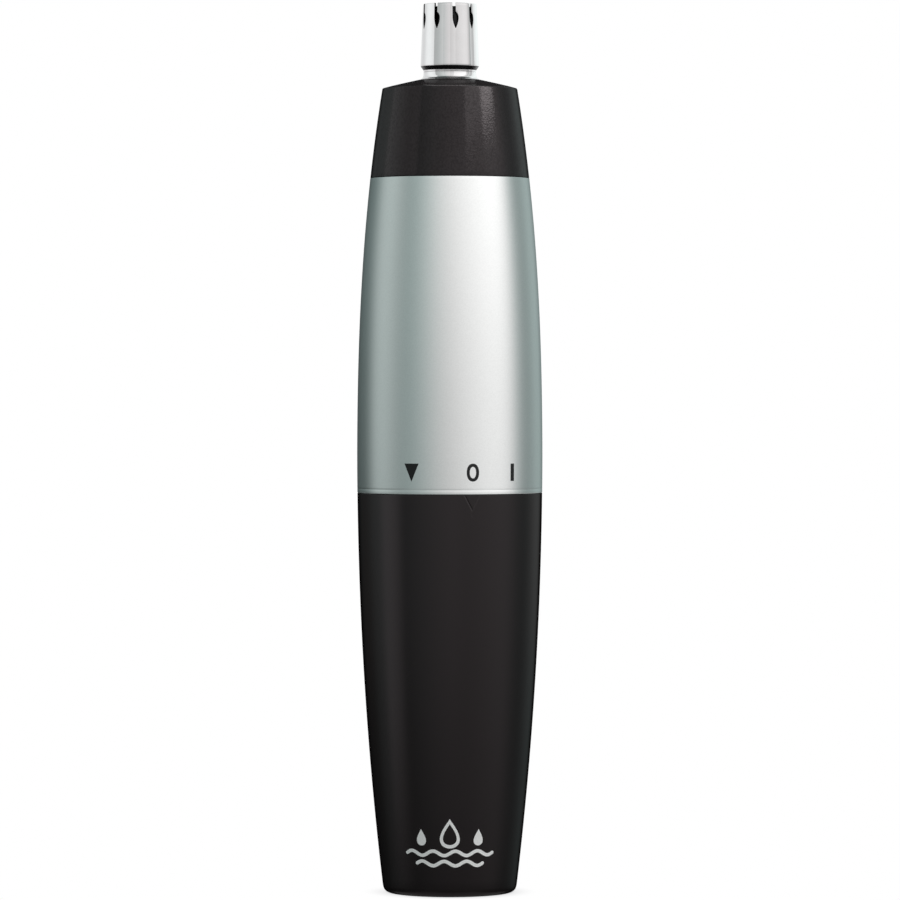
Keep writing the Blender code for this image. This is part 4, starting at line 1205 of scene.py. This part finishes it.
def area_light(name, width, height, radiance, colour, location, rotation, lit):
    """A rectangular light, sized and placed in metres, that lights only some pieces."""
    light = bpy.data.lights.new(name, "AREA")
    light.shape = "RECTANGLE"
    light.size, light.size_y = width, height
    light.color = colour
    light.energy = radiance * math.pi * light.size * light.size_y
    obj = bpy.data.objects.new(name, light)
    bpy.context.scene.collection.objects.link(obj)
    obj.location = location
    obj.rotation_euler = rotation
    group = bpy.data.collections.new(name + "_lit")
    for piece in lit:
        group.objects.link(bpy.data.objects[piece])
    obj.light_linking.receiver_collection = group


NECK = ("neck_ring_fine",)
CHROME = ("cutter_sleeve_fine",) + NECK
SLEEVE, BARREL, COLLAR = ("barrel_sleeve_shell",), ("lower_barrel_shell",), ("head_collar_shell",)
BLADE = ("inner_cutter_fine",)
PANEL_AIM_Z = 110.0

# Upright softboxes that face the axis: name, degrees from the front, half width in degrees,
# lowest and highest degrees seen from PANEL_AIM_Z, distance, radiance, colour, pieces lit.
PANELS = [
    ("side_strip", -79, 14, -20, 40, 600.0, 0.70, (1, 0.94, 0.96), BARREL),
    ("front_fill", -20, 32, -20, 40, 600.0, 0.22, (1, 0.97, 0.98), BARREL),
    ("right_rim", 138, 20, -11, 40, 600.0, 0.10, (1, 0.35, 0.40), BARREL),
    ("collar_right", 138, 20, -14, 40, 600.0, 0.03, (1, 0.60, 0.64), COLLAR),
    ("left_rim", -130, 20, -14, 40, 600.0, 0.03, (1, 0.30, 0.30), BARREL),
    ("collar_left", -134, 24, -5, 50, 600.0, 0.09, (1, 0.80, 0.82), COLLAR),
    ("collar_strip", -80, 30, 5, 50, 600.0, 0.40, (1, 0.90, 0.92), COLLAR),
    ("collar_fill", -42, 22, 5, 50, 600.0, 0.11, (1, 0.92, 0.94), COLLAR),
    ("high_box", 49, 24, 17, 50, 600.0, 1.4, (1, 1, 1), COLLAR),
    ("high_core", 66, 12, 17, 50, 600.0, 5.0, (1, 1, 1), COLLAR),
    ("chrome_left", -113, 46, -35, 60, 900.0, 0.97, (1, 0.98, 0.99), CHROME),
    ("chrome_back", 184.5, 16.5, -35, 60, 900.0, 0.95, (1, 1, 1), CHROME),
    ("chrome_right", 141.5, 26.5, -35, 60, 900.0, 1.05, (1, 1, 1), CHROME),
    ("chrome_step", 103.5, 11.5, -35, 60, 900.0, 0.60, (1, 0.94, 0.95), CHROME),
    ("chrome_front_a", -47, 20, -35, 60, 900.0, 0.42, (1, 0.92, 0.93), CHROME),
    ("chrome_front_b", -13, 14, -35, 60, 900.0, 0.28, (1, 0.96, 0.97), CHROME),
    ("chrome_front_c", 12, 11, -35, 60, 900.0, 0.12, (1, 1, 1), CHROME),
    ("neck_front", 48, 28, -35, 60, 900.0, 0.40, (1, 1, 1), NECK),
    ("blade_right", 104, 15, -35, 60, 900.0, 16.0, (1, 1, 1), BLADE),
]
for name, from_front, half_width, lowest, highest, distance, radiance, tint, lit in PANELS:
    panel_width = 2 * distance * math.tan(math.radians(half_width))
    z0 = PANEL_AIM_Z + distance * math.tan(math.radians(lowest))
    z1 = PANEL_AIM_Z + distance * math.tan(math.radians(highest))
    bearing = math.radians(around(from_front))
    place = (distance * MM * math.cos(bearing), distance * MM * math.sin(bearing),
             (z0 + z1) / 2 * MM)
    area_light(name, panel_width * MM, (z1 - z0) * MM, radiance, tint, place,
               (math.pi / 2, 0, bearing + math.pi / 2), lit)

# Level lights that shine up from below the floor or down from overhead:
# name, x0, x1, reach to front and back, z, radiance, colour, pieces lit.
LEVEL_LIGHTS = [
    ("low_right", 420, 1200, 1200, -250.0, 0.70, (0.97, 1, 1), SLEEVE + CHROME),
    ("low_centre", -120, 420, 1200, -250.0, 0.52, (0.94, 1, 0.99), SLEEVE + CHROME),
    ("low_left", -1200, -120, 1200, -250.0, 0.33, (0.88, 1, 0.99), SLEEVE + CHROME),
    ("low_middle", -300, 300, 300, -250.0, 0.36, (1, 0.97, 0.98), BARREL + COLLAR),
    ("overhead", -150, 150, 150, 600.0, 3.5, (1, 0.97, 0.98), COLLAR),
]
for name, x0, x1, reach, light_z, radiance, tint, lit in LEVEL_LIGHTS:
    area_light(name, (x1 - x0) * MM, 2 * reach * MM, radiance, tint,
               ((x0 + x1) / 2 * MM, 0, light_z * MM), (math.pi if light_z < 0 else 0, 0, 0), lit)

# ------------------------------------------------------------------ camera

CAMERA_X, CAMERA_DISTANCE, EYE_Z, AIM_Z = 0.03, 837.0, 79.8, 67.2
VIEW_WIDTH = 136.8  # width in view at the axis
SENSOR_WIDTH = 36.0

camera = bpy.data.objects.new("camera", bpy.data.cameras.new("camera"))
bpy.context.scene.collection.objects.link(camera)
camera.location = (CAMERA_X * MM, -CAMERA_DISTANCE * MM, EYE_Z * MM)
camera.rotation_euler = (math.pi / 2 - math.atan2(EYE_Z - AIM_Z, CAMERA_DISTANCE), 0, 0)
camera.data.sensor_width = SENSOR_WIDTH
camera.data.lens = SENSOR_WIDTH * CAMERA_DISTANCE / VIEW_WIDTH
camera.data.clip_start, camera.data.clip_end = 0.01, 50.0
bpy.context.scene.camera = camera
bpy.context.scene.view_settings.view_transform = "Standard"
bpy.context.scene.view_settings.look = "None"
